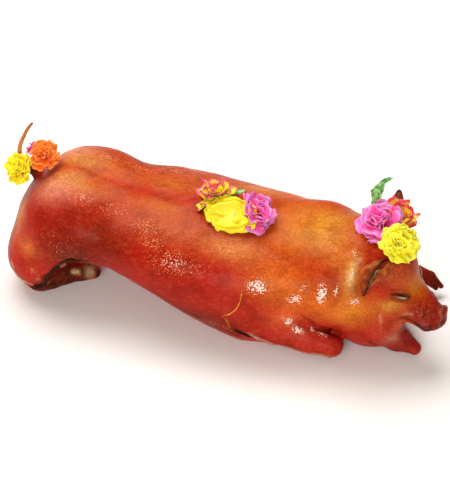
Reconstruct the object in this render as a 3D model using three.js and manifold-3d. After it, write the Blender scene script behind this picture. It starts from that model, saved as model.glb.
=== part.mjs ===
// A roast suckling pig lying on its belly, dressed with carnations on the tail root, the back and the brow.
// Millimetres. +X runs from the tail to the snout, +Y to the pig's left and +Z up.
// The origin is on the flat of the belly, and z = 0 is the plane that the pig rests on.
import * as THREE from "three";
import Module from "manifold-3d";

const wasm = await Module();
wasm.setup();

// ---------------------------------------------------------------- driving sizes

const BODY_WIDTH = 216; // across the ribs
const BACK_HEIGHT = 151; // the spine above the resting plane, at the ribs
const NECK_X = 168; // where the head's own frame starts
const HEAD_YAW = -11; // degrees, the snout turned towards the pig's right
const RUMP_ROUND_X = -222; // behind this the trunk rounds off
const RUMP_ROUND_LENGTH = 80;
const SECTION_POWER = 2.3; // 2 is an ellipse, and more is squarer
const TRUNK_END_X = 185; // the trunk ends here, inside the neck
const TRUNK_END_FILLET = 20;
const HEAD_FILLET = 16; // between the head and the neck
const UNDERSIDE_DEPTH = 8; // the forms reach this far under the resting plane before they are cut off
const GAP = 0.5; // between the garnish and what it lies on

// Sections of the trunk: [x, half width, spine, height of the widest point, belly line].
// Half widths are shares of BODY_WIDTH / 2 and heights are shares of BACK_HEIGHT.
const TRUNK_SECTIONS = [
  [-305, 0.76, 0.92, 0.44, -0.05],
  [-265, 0.87, 1.03, 0.52, -0.03],
  [-222, 0.89, 1.1, 0.63, 0.16],
  [-180, 0.85, 1.05, 0.67, 0.3],
  [-140, 0.85, 1.0, 0.68, 0.31],
  [-100, 0.93, 1.01, 0.65, 0.24],
  [-50, 0.99, 1.01, 0.59, 0.06],
  [0, 1.0, 1.0, 0.53, -0.12],
  [55, 0.97, 0.995, 0.51, -0.16],
  [105, 0.84, 0.99, 0.6, 0.06],
  [150, 0.76, 0.98, 0.6, 0.1],
  [190, 0.63, 0.99, 0.57, 0.08],
];

// ---------------------------------------------------------------- smooth forms

// The union of two distances, with a fillet of about the given size between them.
function blend(a, b, fillet) {
  if (!fillet || a === Infinity) return Math.min(a, b);
  const share = Math.min(Math.max(0.5 + (0.5 * (b - a)) / fillet, 0), 1);
  return b * (1 - share) + a * share - fillet * share * (1 - share);
}

// The distance to an ellipsoid, turned by a pitch about Y in degrees.
function ellipsoid([x, y, z], [cx, cy, cz], [rx, ry, rz], pitch = 0) {
  const turn = THREE.MathUtils.degToRad(pitch);
  const dx = x - cx;
  const dz = z - cz;
  const u = dx * Math.cos(turn) - dz * Math.sin(turn);
  const w = dx * Math.sin(turn) + dz * Math.cos(turn);
  const near = Math.hypot(u / rx, (y - cy) / ry, w / rz);
  const slope = Math.hypot(u / rx ** 2, (y - cy) / ry ** 2, w / rz ** 2);
  return (near * (near - 1)) / Math.max(slope, 1e-9);
}

// The distance to a rod with round ends whose radius changes from one end to the other.
function rod(p, from, to, fromRadius, toRadius) {
  const along = to.map((value, i) => value - from[i]);
  const offset = p.map((value, i) => value - from[i]);
  const length2 = along.reduce((sum, value) => sum + value * value, 0);
  const dot = offset.reduce((sum, value, i) => sum + value * along[i], 0);
  const share = Math.min(Math.max(dot / length2, 0), 1);
  const away = offset.map((value, i) => value - share * along[i]);
  return Math.hypot(...away) - (fromRadius + (toRadius - fromRadius) * share);
}

// Rods end to end through points [x, y, z, radius].
function limb(p, points, fillet) {
  let distance = Infinity;
  for (let i = 0; i + 1 < points.length; i += 1) {
    const [from, to] = [points[i], points[i + 1]];
    const next = rod(p, from.slice(0, 3), to.slice(0, 3), from[3], to[3]);
    distance = blend(distance, next, fillet);
  }
  return distance;
}

// A smooth curve through rows [x, values...]: a cubic on each span, with mean slopes at the rows.
function smoothTable(rows) {
  const slope = (a, b, column) => (rows[b][column] - rows[a][column]) / (rows[b][0] - rows[a][0]);
  const last = rows.length - 1;
  return (x) => {
    const at = Math.min(Math.max(x, rows[0][0]), rows[last][0]);
    const i = Math.min(rows.findLastIndex((row) => row[0] <= at), last - 1);
    const span = rows[i + 1][0] - rows[i][0];
    const t = (at - rows[i][0]) / span;
    return rows[0].slice(1).map((_, c) => {
      const column = c + 1;
      const startSlope = slope(Math.max(i - 1, 0), i + 1, column) * span;
      const endSlope = slope(i, Math.min(i + 2, last), column) * span;
      const start = rows[i][column] * (2 * t ** 3 - 3 * t ** 2 + 1);
      const end = rows[i + 1][column] * (3 * t ** 2 - 2 * t ** 3);
      return start + end + startSlope * (t ** 3 - 2 * t ** 2 + t) + endSlope * (t ** 3 - t ** 2);
    });
  };
}

// ---------------------------------------------------------------- the pig's forms

const sectionAt = smoothTable(TRUNK_SECTIONS);

// The trunk: squarish ovals along X, wide at the ribs, tucked up at the waist and rounded at the rump.
function trunk([x, y, z]) {
  const [width, top, widest, belly] = sectionAt(x);
  const halfWidth = (width * BODY_WIDTH) / 2;
  const middle = widest * BACK_HEIGHT;
  const reach = z > middle ? top * BACK_HEIGHT - middle : middle - belly * BACK_HEIGHT;
  const behind = Math.max(RUMP_ROUND_X - x, 0) / RUMP_ROUND_LENGTH;
  const shares = [y / halfWidth, (z - middle) / reach, behind];
  const sum = shares.reduce((total, share) => total + Math.abs(share) ** SECTION_POWER, 0);
  const distance = (sum ** (1 / SECTION_POWER) - 1) * Math.min(halfWidth, reach);
  return -blend(-distance, TRUNK_END_X - x, TRUNK_END_FILLET);
}

// Masses of flesh: centre, half lengths, pitch in degrees, fillet and the sides that they stand on.
const NECK = { at: [172, 0, 88], half: [70, 64, 68], pitch: 0, fillet: 30, sides: [1] };
const SHOULDERS = { at: [54, 61, 58], half: [48, 38, 54], pitch: 20, fillet: 24, sides: [-1, 1] };
const LEFT_BLADE = { at: [122, 46, 98], half: [50, 38, 46], pitch: 0, fillet: 20, sides: [1] };
const SKULL = { at: [44, 0, 100], half: [50, 47, 58], pitch: 0, fillet: 16, sides: [1] };
const BROW = { at: [62, 0, 116], half: [26, 34, 32], pitch: 30, fillet: 14, sides: [1] };
const JOWLS = { at: [38, 22, 50], half: [54, 38, 54], pitch: 0, fillet: 18, sides: [-1, 1] };
const CHEEKS = { at: [74, 14, 80], half: [26, 22, 24], pitch: 0, fillet: 12, sides: [-1, 1] };
const SNOUT_DISC = { at: [132, 0, 64], half: [8, 20, 18], pitch: 15, fillet: 4, sides: [1] };

// Each ham is a thick rod [x, y, z, radius] from the hip down to the knee.
const HAM = [
  [-194, 40, 103, 52],
  [-252, 54, 48, 50],
];
const HAM_FILLET = 18;

// The hollow in front of each ham, above the folded shank: centre and half lengths.
const HOLLOW = { at: [-190, 85, 30], half: [42, 45, 52] };
const HOLLOW_FILLET = 6;

// A form with masses of flesh added to it one after another.
function flesh(p, distance, masses) {
  let form = distance;
  for (const { at, half, pitch, fillet, sides } of masses) {
    for (const side of sides) {
      form = blend(form, ellipsoid(p, [at[0], side * at[1], at[2]], half, pitch), fillet);
    }
  }
  return form;
}

// The points of a limb on the left (1) or, mirrored, on the right (-1).
function onSide(points, side) {
  return points.map(([x, y, z, radius]) => [x, side * y, z, radius]);
}

// Neck, shoulders, and the hams folded under the rump.
function muscles(p, distance) {
  let body = flesh(p, distance, [NECK, SHOULDERS, LEFT_BLADE]);
  for (const side of [-1, 1]) {
    body = blend(body, limb(p, onSide(HAM, side), 0), HAM_FILLET);
    const hollow = ellipsoid(p, [HOLLOW.at[0], side * HOLLOW.at[1], HOLLOW.at[2]], HOLLOW.half);
    body = -blend(-body, hollow, HOLLOW_FILLET);
  }
  return body;
}

// Limbs as points [x, y, z, radius] from the body to the foot.
const HIND_SHANK = [
  [-250, 74, 21, 21],
  [-222, 59, 20, 16],
  [-202, 47, 18, 12.5],
  [-187, 38, 15, 11],
];
const RIGHT_FORELEG = [
  [52, -64, 34, 33],
  [92, -70, 27, 26],
  [134, -73, 21, 20],
  [168, -75, 17, 16],
];
const LEFT_FORELEG = [
  [56, 66, 32, 31],
  [110, 77, 26, 24],
  [175, 84, 20, 15],
  [225, 86, 26, 10.5],
  [250, 85, 32, 8],
];
const HOCK_FILLET = 10;
const ELBOW_FILLET = 16;
const LEFT_TOES = [
  [[249, 86, 33, 7.5], [268, 86, 27, 6.5], [284, 85, 14, 4]],
  [[250, 82, 30, 7], [264, 80, 25, 6], [278, 78, 15, 4]],
];

// Only the roots of the limbs flow into the body: their free ends lie against it in a crease.
function limbRoots(p, distance) {
  let body = distance;
  for (const side of [-1, 1]) {
    body = blend(body, limb(p, onSide(HIND_SHANK, side).slice(0, 2), 0), HOCK_FILLET);
  }
  for (const foreleg of [RIGHT_FORELEG, LEFT_FORELEG]) {
    body = blend(body, limb(p, foreleg.slice(0, 2), 0), ELBOW_FILLET);
  }
  return body;
}

const HEAD_COS = Math.cos(THREE.MathUtils.degToRad(HEAD_YAW));
const HEAD_SIN = Math.sin(THREE.MathUtils.degToRad(HEAD_YAW));

// A point in the head's frame: u ahead of the neck, v to the pig's left, z up.
function toHead([x, y, z]) {
  const ahead = x - NECK_X;
  return [ahead * HEAD_COS + y * HEAD_SIN, y * HEAD_COS - ahead * HEAD_SIN, z];
}

// The snout, one lip and the lower jaw in that frame, as points [u, v, z, radius].
const SNOUT = [
  [72, 0, 90, 29],
  [104, 0, 73, 23],
  [126, 0, 63, 17],
];
const LIP = [
  [86, 17, 80, 11],
  [118, 8, 53, 11],
];
const LOWER_JAW = [
  [46, -10, 30, 31],
  [84, -17, 18, 17],
  [110, -17, 10, 9.5],
];
const MUZZLE_FILLETS = { along: 8, snout: 14, lip: 6, jaw: 8 };

// Skull, brow, jowls, cheeks, snout with its disc, and the dropped lower jaw that leaves the mouth open.
function head(p) {
  const q = toHead(p);
  let form = flesh(q, Infinity, [SKULL, BROW, JOWLS, CHEEKS]);
  form = blend(form, limb(q, SNOUT, MUZZLE_FILLETS.along), MUZZLE_FILLETS.snout);
  for (const side of [-1, 1]) {
    form = blend(form, limb(q, onSide(LIP, side), 0), MUZZLE_FILLETS.lip);
  }
  form = flesh(q, form, [SNOUT_DISC]);
  return blend(form, limb(q, LOWER_JAW, MUZZLE_FILLETS.along), MUZZLE_FILLETS.jaw);
}

// The distance to the skin of the pig without its ears, tail and the free ends of its limbs.
function pigForm(p) {
  const skin = blend(limbRoots(p, muscles(p, trunk(p))), head(p), HEAD_FILLET);
  return Math.max(skin, -UNDERSIDE_DEPTH - p[2]);
}

// ---------------------------------------------------------------- meshes

// Grid lines from the first stop to the last, with each stretch cut into even steps.
function gridLines(first, stretches) {
  const lines = [first];
  for (const [end, step] of stretches) {
    const start = lines[lines.length - 1];
    const count = Math.round((end - start) / step);
    for (let i = 1; i <= count; i += 1) {
      lines.push(start + ((end - start) * i) / count);
    }
  }
  return lines;
}

// Closer lines where the pig is small or bends fast: at the rump, the head and the feet.
const GRID = [
  gridLines(-326, [[-248, 11], [-150, 14], [176, 25], [320, 8.3]]),
  gridLines(-126, [[-60, 11], [60, 10], [126, 11]]),
  gridLines(-21, [[96, 9], [186, 11]]),
];

const AXES = [[1, 0, 0], [0, 1, 0], [0, 0, 1]];
const PROBE = 0.1; // how far the field's slope is felt
const LONGEST_SHIFT = 2; // of a point in one pass
const LEAST_STEEPNESS = 0.2;

// A point moved along the field's slope on to its zero surface.
function settle(field, point) {
  let moved = point;
  for (let pass = 0; pass < 2; pass += 1) {
    const value = field(moved);
    const slope = AXES.map((axis) => (field(moved.map((c, i) => c + axis[i] * PROBE)) - value) / PROBE);
    const steepness = slope.reduce((sum, s) => sum + s * s, 0);
    const full = value / Math.max(steepness, LEAST_STEEPNESS);
    const shift = THREE.MathUtils.clamp(full, -LONGEST_SHIFT, LONGEST_SHIFT);
    moved = moved.map((c, i) => c - shift * slope[i]);
  }
  return moved;
}

// The zero surface of a field: a vertex in each grid cell that it crosses,
// and a quad round each grid edge that it crosses.
function skinOf(field, lines) {
  const [xs, ys, zs] = lines;
  const [nx, ny, nz] = lines.map((line) => line.length);
  const index = (i, j, k) => (i * ny + j) * nz + k;
  const values = new Float64Array(nx * ny * nz);
  const vertexOf = new Int32Array(nx * ny * nz).fill(-1);
  for (let i = 0; i < nx; i += 1) {
    for (let j = 0; j < ny; j += 1) {
      for (let k = 0; k < nz; k += 1) {
        values[index(i, j, k)] = field([xs[i], ys[j], zs[k]]);
      }
    }
  }
  const crossings = (i, j, k) => {
    const found = [];
    for (let axis = 0; axis < 3; axis += 1) {
      for (const [a, b] of [[0, 0], [1, 0], [0, 1], [1, 1]]) {
        const low = [i, j, k];
        low[(axis + 1) % 3] += a;
        low[(axis + 2) % 3] += b;
        const high = low.map((c, n) => c + AXES[axis][n]);
        const [start, end] = [values[index(...low)], values[index(...high)]];
        if (start < 0 !== end < 0) {
          const share = start / (start - end);
          found.push(lines.map((line, n) => line[low[n]] + share * (line[high[n]] - line[low[n]])));
        }
      }
    }
    return found;
  };
  const vertices = [];
  for (let i = 0; i + 1 < nx; i += 1) {
    for (let j = 0; j + 1 < ny; j += 1) {
      for (let k = 0; k + 1 < nz; k += 1) {
        const found = crossings(i, j, k);
        if (found.length) {
          const mean = [0, 1, 2].map((n) => found.reduce((sum, c) => sum + c[n], 0) / found.length);
          vertexOf[index(i, j, k)] = vertices.length;
          vertices.push(settle(field, mean));
        }
      }
    }
  }
  const triangles = [];
  for (let i = 1; i + 1 < nx; i += 1) {
    for (let j = 1; j + 1 < ny; j += 1) {
      for (let k = 1; k + 1 < nz; k += 1) {
        for (let axis = 0; axis < 3; axis += 1) {
          const here = [i, j, k];
          const inside = values[index(...here)] < 0;
          const next = values[index(...here.map((c, n) => c + AXES[axis][n]))] < 0;
          if (inside !== next) {
            const corner = (a, b) => {
              const cell = [...here];
              cell[(axis + 1) % 3] -= a;
              cell[(axis + 2) % 3] -= b;
              return vertexOf[index(...cell)];
            };
            const quad = [corner(1, 1), corner(0, 1), corner(0, 0), corner(1, 0)];
            if (!inside) quad.reverse();
            triangles.push([quad[0], quad[1], quad[2]], [quad[0], quad[2], quad[3]]);
          }
        }
      }
    }
  }
  return { vertices, triangles };
}

// A closed skin over rings of points, with a fan over the first and the last ring.
function loft(rings) {
  const size = rings[0].length;
  const vertices = rings.flat();
  const triangles = [];
  for (let r = 0; r + 1 < rings.length; r += 1) {
    for (let s = 0; s < size; s += 1) {
      const a = r * size + s;
      const b = r * size + ((s + 1) % size);
      triangles.push([a, b, b + size], [a, b + size, a + size]);
    }
  }
  [0, rings.length - 1].forEach((r, end) => {
    const middle = vertices.length;
    vertices.push([0, 1, 2].map((n) => rings[r].reduce((sum, point) => sum + point[n], 0) / size));
    for (let s = 0; s < size; s += 1) {
      const pair = [r * size + s, r * size + ((s + 1) % size)];
      if (!end) pair.reverse();
      triangles.push([middle, ...pair]);
    }
  });
  return { vertices, triangles };
}

// Six times the volume inside a mesh, below zero when it is inside out.
function signedVolume({ vertices, triangles }) {
  return triangles.reduce((sum, corners) => {
    const [a, b, c] = corners.map((corner) => new THREE.Vector3(...vertices[corner]));
    return sum + a.dot(b.cross(c));
  }, 0);
}

// A mesh as a solid that can be joined and cut.
function solid(mesh) {
  const outward = signedVolume(mesh) > 0;
  const corners = mesh.triangles.map((t) => (outward ? t : [t[0], t[2], t[1]]));
  return new wasm.Manifold(
    new wasm.Mesh({
      numProp: 3,
      vertProperties: new Float32Array(mesh.vertices.flat()),
      triVerts: new Uint32Array(corners.flat()),
    }),
  );
}

// ---------------------------------------------------------------- ears and tail

const LEAF_STEPS = 8; // along a leaf
const LEAF_COLUMNS = 6; // across it
const LEAF_WAVES = 7; // half waves of its rim
const LEAF_TIP = 0.12; // its least width, as a share

// A leaf of even thickness along a curve of three points [x, y, z].
// across is the direction of its width, foot is its first width as a share of the whole,
// cup bends its sides and wave ripples its rim.
function leafRings({ spine, across, halfWidth, thickness, cup, wave = 0, foot = 0.55 }, grow) {
  const curve = new THREE.QuadraticBezierCurve3(...spine.map((point) => new THREE.Vector3(...point)));
  const side = new THREE.Vector3(...across).normalize();
  const shares = Array.from({ length: LEAF_COLUMNS + 1 }, (_, c) => (2 * c) / LEAF_COLUMNS - 1);
  return Array.from({ length: LEAF_STEPS + 1 }, (_, i) => {
    const s = i / LEAF_STEPS;
    const normal = new THREE.Vector3().crossVectors(curve.getTangent(s), side).normalize();
    const bulge = (1 - foot) * Math.sin(Math.PI * Math.min(0.1 + 0.9 * s, 1));
    const reach = halfWidth * Math.max(foot + bulge - 0.9 * foot * s ** 3, LEAF_TIP) + grow;
    const point = (t, face) => {
      const ripple = wave * Math.sin(LEAF_WAVES * Math.PI * s) * t * Math.abs(t);
      const lift = cup * t * t + ripple + face * (thickness / 2 + grow);
      return curve.getPoint(s).addScaledVector(side, reach * t).addScaledVector(normal, lift).toArray();
    };
    return [...shares.map((t) => point(t, 1)), ...shares.toReversed().map((t) => point(t, -1))];
  });
}

// The right ear lies folded back beside the cheek, and the left one is a narrow roll that stands out.
const EARS = [
  { spine: [[224, -36, 142], [209, -68, 150], [203, -72, 114]], across: [1, -0.1, 0.25],
    halfWidth: 15, thickness: 5, cup: -8 },
  { spine: [[212, 25, 138], [216, 53, 174], [211, 86, 169]], across: [1, -0.05, -0.1],
    halfWidth: 9, thickness: 6, cup: -4, foot: 0.8 },
];

const TAIL = [
  [-258, 2, 134, 11],
  [-275, 3, 135, 8],
  [-291, 4, 144, 5],
  [-301, 4, 165, 3.4],
  [-296, 4, 189, 2.9],
  [-287, 4, 209, 2.5],
  [-276, 4, 225, 2],
];

const ROUND_END = [30, 60, 82]; // degrees at which a tube's round end has a ring

// Rings round a smooth curve through points [x, y, z, radius], closing to a round end at the last one.
function tubeRings(points, grow, steps, sides) {
  const curve = new THREE.CatmullRomCurve3(points.map(([x, y, z]) => new THREE.Vector3(x, y, z)));
  const radiusAt = smoothTable(points.map((point, i) => [i / (points.length - 1), point[3]]));
  const upright = new THREE.Vector3(0, 0.02, 1); // a little off, so that it is never along the tail
  const [tip, endRadius] = [curve.getPoint(1), points[points.length - 1][3] + grow];
  const ring = (centre, tangent, radius) => {
    const across = new THREE.Vector3().crossVectors(tangent, upright).normalize();
    const up = new THREE.Vector3().crossVectors(tangent, across).normalize();
    return Array.from({ length: sides }, (_, k) => {
      const angle = (2 * Math.PI * k) / sides;
      const point = centre.clone().addScaledVector(across, radius * Math.cos(angle));
      return point.addScaledVector(up, radius * Math.sin(angle)).toArray();
    });
  };
  const rings = [];
  for (let i = 0; i <= steps; i += 1) {
    rings.push(ring(curve.getPoint(i / steps), curve.getTangent(i / steps), radiusAt(i / steps)[0] + grow));
  }
  for (const degrees of ROUND_END) {
    const turn = THREE.MathUtils.degToRad(degrees);
    const centre = tip.clone().addScaledVector(curve.getTangent(1), endRadius * Math.sin(turn));
    rings.push(ring(centre, curve.getTangent(1), endRadius * Math.cos(turn)));
  }
  return rings;
}

// The free ends of the limbs and the tail, as [points, steps along, sides].
function limbTubes() {
  const shanks = [-1, 1].map((side) => [onSide(HIND_SHANK, side), 5, 10]);
  const toes = LEFT_TOES.map((toe) => [toe, 3, 8]);
  return [...shanks, [RIGHT_FORELEG, 7, 12], [LEFT_FORELEG, 11, 12], ...toes, [TAIL, 13, 7]];
}

// A block whose top face is the resting plane.
function restingBlock() {
  const [length, width, depth] = [900, 500, 80]; // past the pig on every side
  const corners = [[-1, -1], [1, -1], [1, 1], [-1, 1]];
  const ring = (z) => corners.map(([x, y]) => [(x * length) / 2, (y * width) / 2, z]);
  return solid(loft([ring(-depth), ring(0)]));
}

// The whole carcass, larger all round by the given amount.
function carcass(grow) {
  const body = solid(skinOf((p) => pigForm(p) - grow, GRID));
  const ears = EARS.map((ear) => leafRings(ear, grow));
  const tubes = limbTubes().map(([points, steps, sides]) => tubeRings(points, grow, steps, sides));
  return [...ears, ...tubes].reduce((sum, rings) => sum.add(solid(loft(rings))), body);
}

// ---------------------------------------------------------------- garnish

// Rings of a bloom from the foot of its stalk up, as [radius, height, ruffle] shares of its radius.
const BLOOM_TIERS = [
  [0.13, -1.35, 0],
  [0.2, -0.62, 0],
  [0.66, -0.34, 0.03],
  [1.0, -0.02, 0.13],
  [0.72, 0.12, 0.04],
  [0.82, 0.36, 0.12],
  [0.5, 0.36, 0.04],
  [0.52, 0.58, 0.1],
  [0.18, 0.48, 0.02],
];
const BLOOM_SCALLOPS = 5;
const BLOOM_SIDES = 15;
const SCALLOP_LIFT = 0.6; // a petal that reaches out also rises, by this share
const TIER_TURN = 2.2; // radians of the scallops' wave from one ring to the next
const BLOOM_CLEARANCE = 1.05; // neighbours are cut back to this share of a bloom

// A carnation: three ruffled tiers of petals round an axis, each turned against the one below.
// flat is its height, and stretch its length and width, as shares of a round bloom's.
function bloomRings({ at, facing, radius, flat = 1, stretch = [1, 1] }, scale = 1) {
  const upright = new THREE.Vector3(0, 0, 1);
  const place = new THREE.Quaternion().setFromUnitVectors(upright, new THREE.Vector3(...facing).normalize());
  const centre = new THREE.Vector3(...at);
  return BLOOM_TIERS.map(([reach, height, ruffle], tier) =>
    Array.from({ length: BLOOM_SIDES }, (_, k) => {
      const angle = (2 * Math.PI * k) / BLOOM_SIDES;
      const wave = ruffle * Math.sin(BLOOM_SCALLOPS * angle + TIER_TURN * tier);
      const [x, y] = [(reach + wave) * Math.cos(angle), (reach + wave) * Math.sin(angle)];
      const z = flat * (height + SCALLOP_LIFT * wave);
      const point = new THREE.Vector3(x * stretch[0], y * stretch[1], z).multiplyScalar(radius * scale);
      return point.applyQuaternion(place).add(centre).toArray();
    }),
  );
}

const YELLOW = 0xf4e62a;
const ORANGE = 0xee6a1c;
const PINK = 0xd648b4;
const BICOLOUR = 0xf0b040; // yellow petals with crimson edges
const GREEN = 0x7ab45a;
const GLAZED_SKIN = 0xb8431c;

// Blooms in the order in which they push each other aside: an earlier one keeps its whole form.
const BLOOMS = [
  { name: "tail_flower_yellow", color: YELLOW, at: [-291, -15, 155], facing: [-0.35, -0.6, 0.7], radius: 23 },
  { name: "tail_flower_orange", color: ORANGE, at: [-263, 2, 172], facing: [0.05, -0.3, 1], radius: 23 },
  { name: "tail_flower_magenta", color: PINK, at: [-282, 19, 166], facing: [-0.35, 0.4, 0.85], radius: 15 },
  { name: "back_flower_yellow", color: YELLOW, at: [11, -20, 160], facing: [-0.05, -0.55, 0.84],
    radius: 33, flat: 0.7, stretch: [1.15, 0.8] },
  { name: "back_flower_bicolour", color: BICOLOUR, at: [-16, 4, 160], facing: [-0.3, 0.2, 0.93],
    radius: 31, flat: 0.9 },
  { name: "back_flower_pink", color: PINK, at: [41, -8, 160], facing: [0.35, 0, 0.93], radius: 29 },
  { name: "head_flower_yellow", color: YELLOW, at: [230, -13, 163], facing: [0.35, -0.5, 0.8], radius: 28 },
  { name: "head_flower_bicolour", color: BICOLOUR, at: [219, 38, 164], facing: [0.5, 0.1, 0.85],
    radius: 26 },
  { name: "head_flower_pink", color: PINK, at: [202, 21, 167], facing: [-0.25, -0.1, 0.96], radius: 31 },
];

const LEAVES = [
  { name: "back_leaf", spine: [[2, 22, 160], [8, 14, 176], [16, 8, 178]], across: [1, 0.6, 0],
    halfWidth: 8, thickness: 1.6, cup: -2, wave: 1.2, foot: 0.4 },
  { name: "head_leaf", spine: [[194, 40, 166], [181, 46, 203], [206, 46, 218]], across: [0.8, -0.3, 0.4],
    halfWidth: 8, thickness: 1.6, cup: -2, wave: 2, foot: 0.4 },
];

const SLIVER = 0.03; // edges shorter than this, which a cut can leave, are closed up

// The largest of a solid's pieces without slivers: a cut can also leave loose scraps.
function largestPiece(whole) {
  const largest = whole.decompose().reduce((best, piece) => (piece.volume() > best.volume() ? piece : best));
  return largest.simplify(SLIVER);
}

// ---------------------------------------------------------------- the group of named meshes

function geometryOf(whole) {
  const mesh = whole.getMesh();
  const positions = [];
  for (let i = 0; i < mesh.numVert; i += 1) {
    positions.push(...mesh.vertProperties.subarray(i * mesh.numProp, i * mesh.numProp + 3));
  }
  const geometry = new THREE.BufferGeometry();
  geometry.setAttribute("position", new THREE.Float32BufferAttribute(positions, 3));
  geometry.setIndex([...mesh.triVerts]);
  geometry.computeVertexNormals();
  return geometry;
}

function addMesh(group, name, whole, color, roughness) {
  const material = new THREE.MeshStandardMaterial({ color, roughness, metalness: 0 });
  const mesh = new THREE.Mesh(geometryOf(whole), material);
  mesh.name = name;
  group.add(mesh);
}

const GLAZED = 0.3; // roughness
const SOFT = 0.8;

function buildPig() {
  const group = new THREE.Group();
  addMesh(group, "roast_pig", largestPiece(carcass(0).subtract(restingBlock())), GLAZED_SKIN, GLAZED);
  let taken = carcass(GAP);
  for (const bloom of BLOOMS) {
    const whole = solid(loft(bloomRings(bloom)));
    addMesh(group, bloom.name, largestPiece(whole.subtract(taken)), bloom.color, SOFT);
    taken = taken.add(solid(loft(bloomRings(bloom, BLOOM_CLEARANCE))));
  }
  for (const leaf of LEAVES) {
    const whole = solid(loft(leafRings(leaf, 0)));
    addMesh(group, leaf.name, largestPiece(whole.subtract(taken)), GREEN, SOFT);
    taken = taken.add(solid(loft(leafRings(leaf, GAP))));
  }
  return group;
}

export default buildPig();
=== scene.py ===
"""A roast suckling pig lying on its belly, glazed red-brown to gold and dressed with carnations.

Tables of points are in millimetres in the row's frame: +X from tail to snout, +Y to the pig's left, +Z up.
"""
import math

import bpy
import numpy as np
from mathutils import Matrix, Vector


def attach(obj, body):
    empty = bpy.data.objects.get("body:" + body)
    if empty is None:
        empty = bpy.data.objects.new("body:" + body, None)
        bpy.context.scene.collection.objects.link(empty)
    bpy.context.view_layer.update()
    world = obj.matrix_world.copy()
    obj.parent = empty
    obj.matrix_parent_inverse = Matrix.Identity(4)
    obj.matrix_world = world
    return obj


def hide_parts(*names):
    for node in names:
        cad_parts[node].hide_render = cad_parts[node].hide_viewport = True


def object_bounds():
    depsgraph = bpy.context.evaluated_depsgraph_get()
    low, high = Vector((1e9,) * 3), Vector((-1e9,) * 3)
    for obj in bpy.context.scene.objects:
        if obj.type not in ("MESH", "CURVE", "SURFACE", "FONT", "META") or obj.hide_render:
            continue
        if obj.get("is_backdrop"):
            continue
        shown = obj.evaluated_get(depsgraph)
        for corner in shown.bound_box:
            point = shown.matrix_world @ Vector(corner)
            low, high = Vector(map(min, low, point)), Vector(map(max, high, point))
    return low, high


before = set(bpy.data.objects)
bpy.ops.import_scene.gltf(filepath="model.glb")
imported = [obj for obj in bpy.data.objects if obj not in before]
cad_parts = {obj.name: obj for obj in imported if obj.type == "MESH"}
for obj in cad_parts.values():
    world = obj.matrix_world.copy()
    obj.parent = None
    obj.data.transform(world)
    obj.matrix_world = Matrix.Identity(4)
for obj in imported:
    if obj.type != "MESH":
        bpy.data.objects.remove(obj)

bl_info = {
    "name": "Roast Suckling Pig",
    "version": (1, 0, 0),
    "blender": (4, 5, 0),
    "location": "View3D > Sidebar > Roast Pig",
    "description": "Builds a glazed roast suckling pig dressed with carnations",
    "category": "Add Mesh",
}

MM = 0.001
BOTH_SIDES = (-1, 1)


# ---------------------------------------------------------------- settings

def linear(code):
    """A hex colour such as "#C84A20" as linear RGB: each channel c becomes c/12.92 below 0.04045 and
    ((c + 0.055) / 1.055) to the power 2.4 above."""
    shares = [int(code[i:i + 2], 16) / 255 for i in (1, 3, 5)]
    return tuple(c / 12.92 if c <= 0.04045 else ((c + 0.055) / 1.055) ** 2.4 for c in shares)


def colour_setting(name, code, description):
    return bpy.props.FloatVectorProperty(
        name=name, description=description, subtype="COLOR", size=3, min=0, max=1, default=linear(code)
    )


class CarcassSettings(bpy.types.PropertyGroup):
    body_step: bpy.props.FloatProperty(
        name="Body mesh step", description="Spacing of the mesh on the trunk", unit="LENGTH",
        default=3.1 * MM, min=2 * MM, max=12 * MM)
    head_step: bpy.props.FloatProperty(
        name="Head mesh step", description="Spacing of the mesh along the head", unit="LENGTH",
        default=2.1 * MM, min=1.5 * MM, max=12 * MM)
    crackle_depth: bpy.props.FloatProperty(
        name="Crackle depth", description="Height of the blisters on the skin", unit="LENGTH",
        default=0.45 * MM, min=0, max=2 * MM)
    roughness: bpy.props.FloatProperty(
        name="Glaze roughness", description="0 is a mirror glaze and 1 is dry skin", subtype="FACTOR",
        default=0.36, min=0.05, max=1)
    skin: colour_setting("Skin", "#B2190D", "Roast skin between the painted zones")
    char: colour_setting("Char", "#2A0F08", "Burnt edges and creases")
    fat: colour_setting("Fat", "#D9B489", "Rendered fat and bare bone")


class GarnishSettings(bpy.types.PropertyGroup):
    petal_thickness: bpy.props.FloatProperty(
        name="Petal thickness", description="Thickness of a petal", unit="LENGTH",
        default=0.5 * MM, min=0.1 * MM, max=2 * MM)
    frill: bpy.props.FloatProperty(
        name="Frill", description="How strongly the petals' rims are ruffled", subtype="FACTOR",
        default=1, min=0, max=2)
    yellow: colour_setting("Yellow", "#FFF20A", "Yellow petals")
    golden: colour_setting("Golden", "#FFDC08", "Petals of the golden bloom at the tail")
    orange: colour_setting("Orange", "#FF7C12", "Orange petals")
    magenta: colour_setting("Magenta", "#F45CB2", "Magenta petals")
    lilac: colour_setting("Lilac", "#E88ED0", "Outer rims of the magenta petals")
    crimson: colour_setting("Crimson", "#EC2850", "Edges of the two-coloured petals")
    leaf: colour_setting("Leaf", "#9AD67C", "Leaves")


class StageSettings(bpy.types.PropertyGroup):
    floor: colour_setting("Floor", "#F7F6F4", "The pale floor")
    softbox_power: bpy.props.FloatProperty(
        name="Softbox power", description="Power of the large light overhead", unit="POWER",
        default=34, min=0, max=500)
    front_power: bpy.props.FloatProperty(
        name="Front light power", description="Power of the soft light beside the camera", unit="POWER",
        default=18, min=0, max=500)
    surround: bpy.props.FloatProperty(
        name="Surround", description="Strength of the light from all round", default=0.34, min=0, max=3)


# ---------------------------------------------------------------- smooth forms

def unit(vectors):
    """Vectors with their direction kept and their length made one."""
    return vectors / np.linalg.norm(vectors, axis=-1, keepdims=True)


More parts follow.
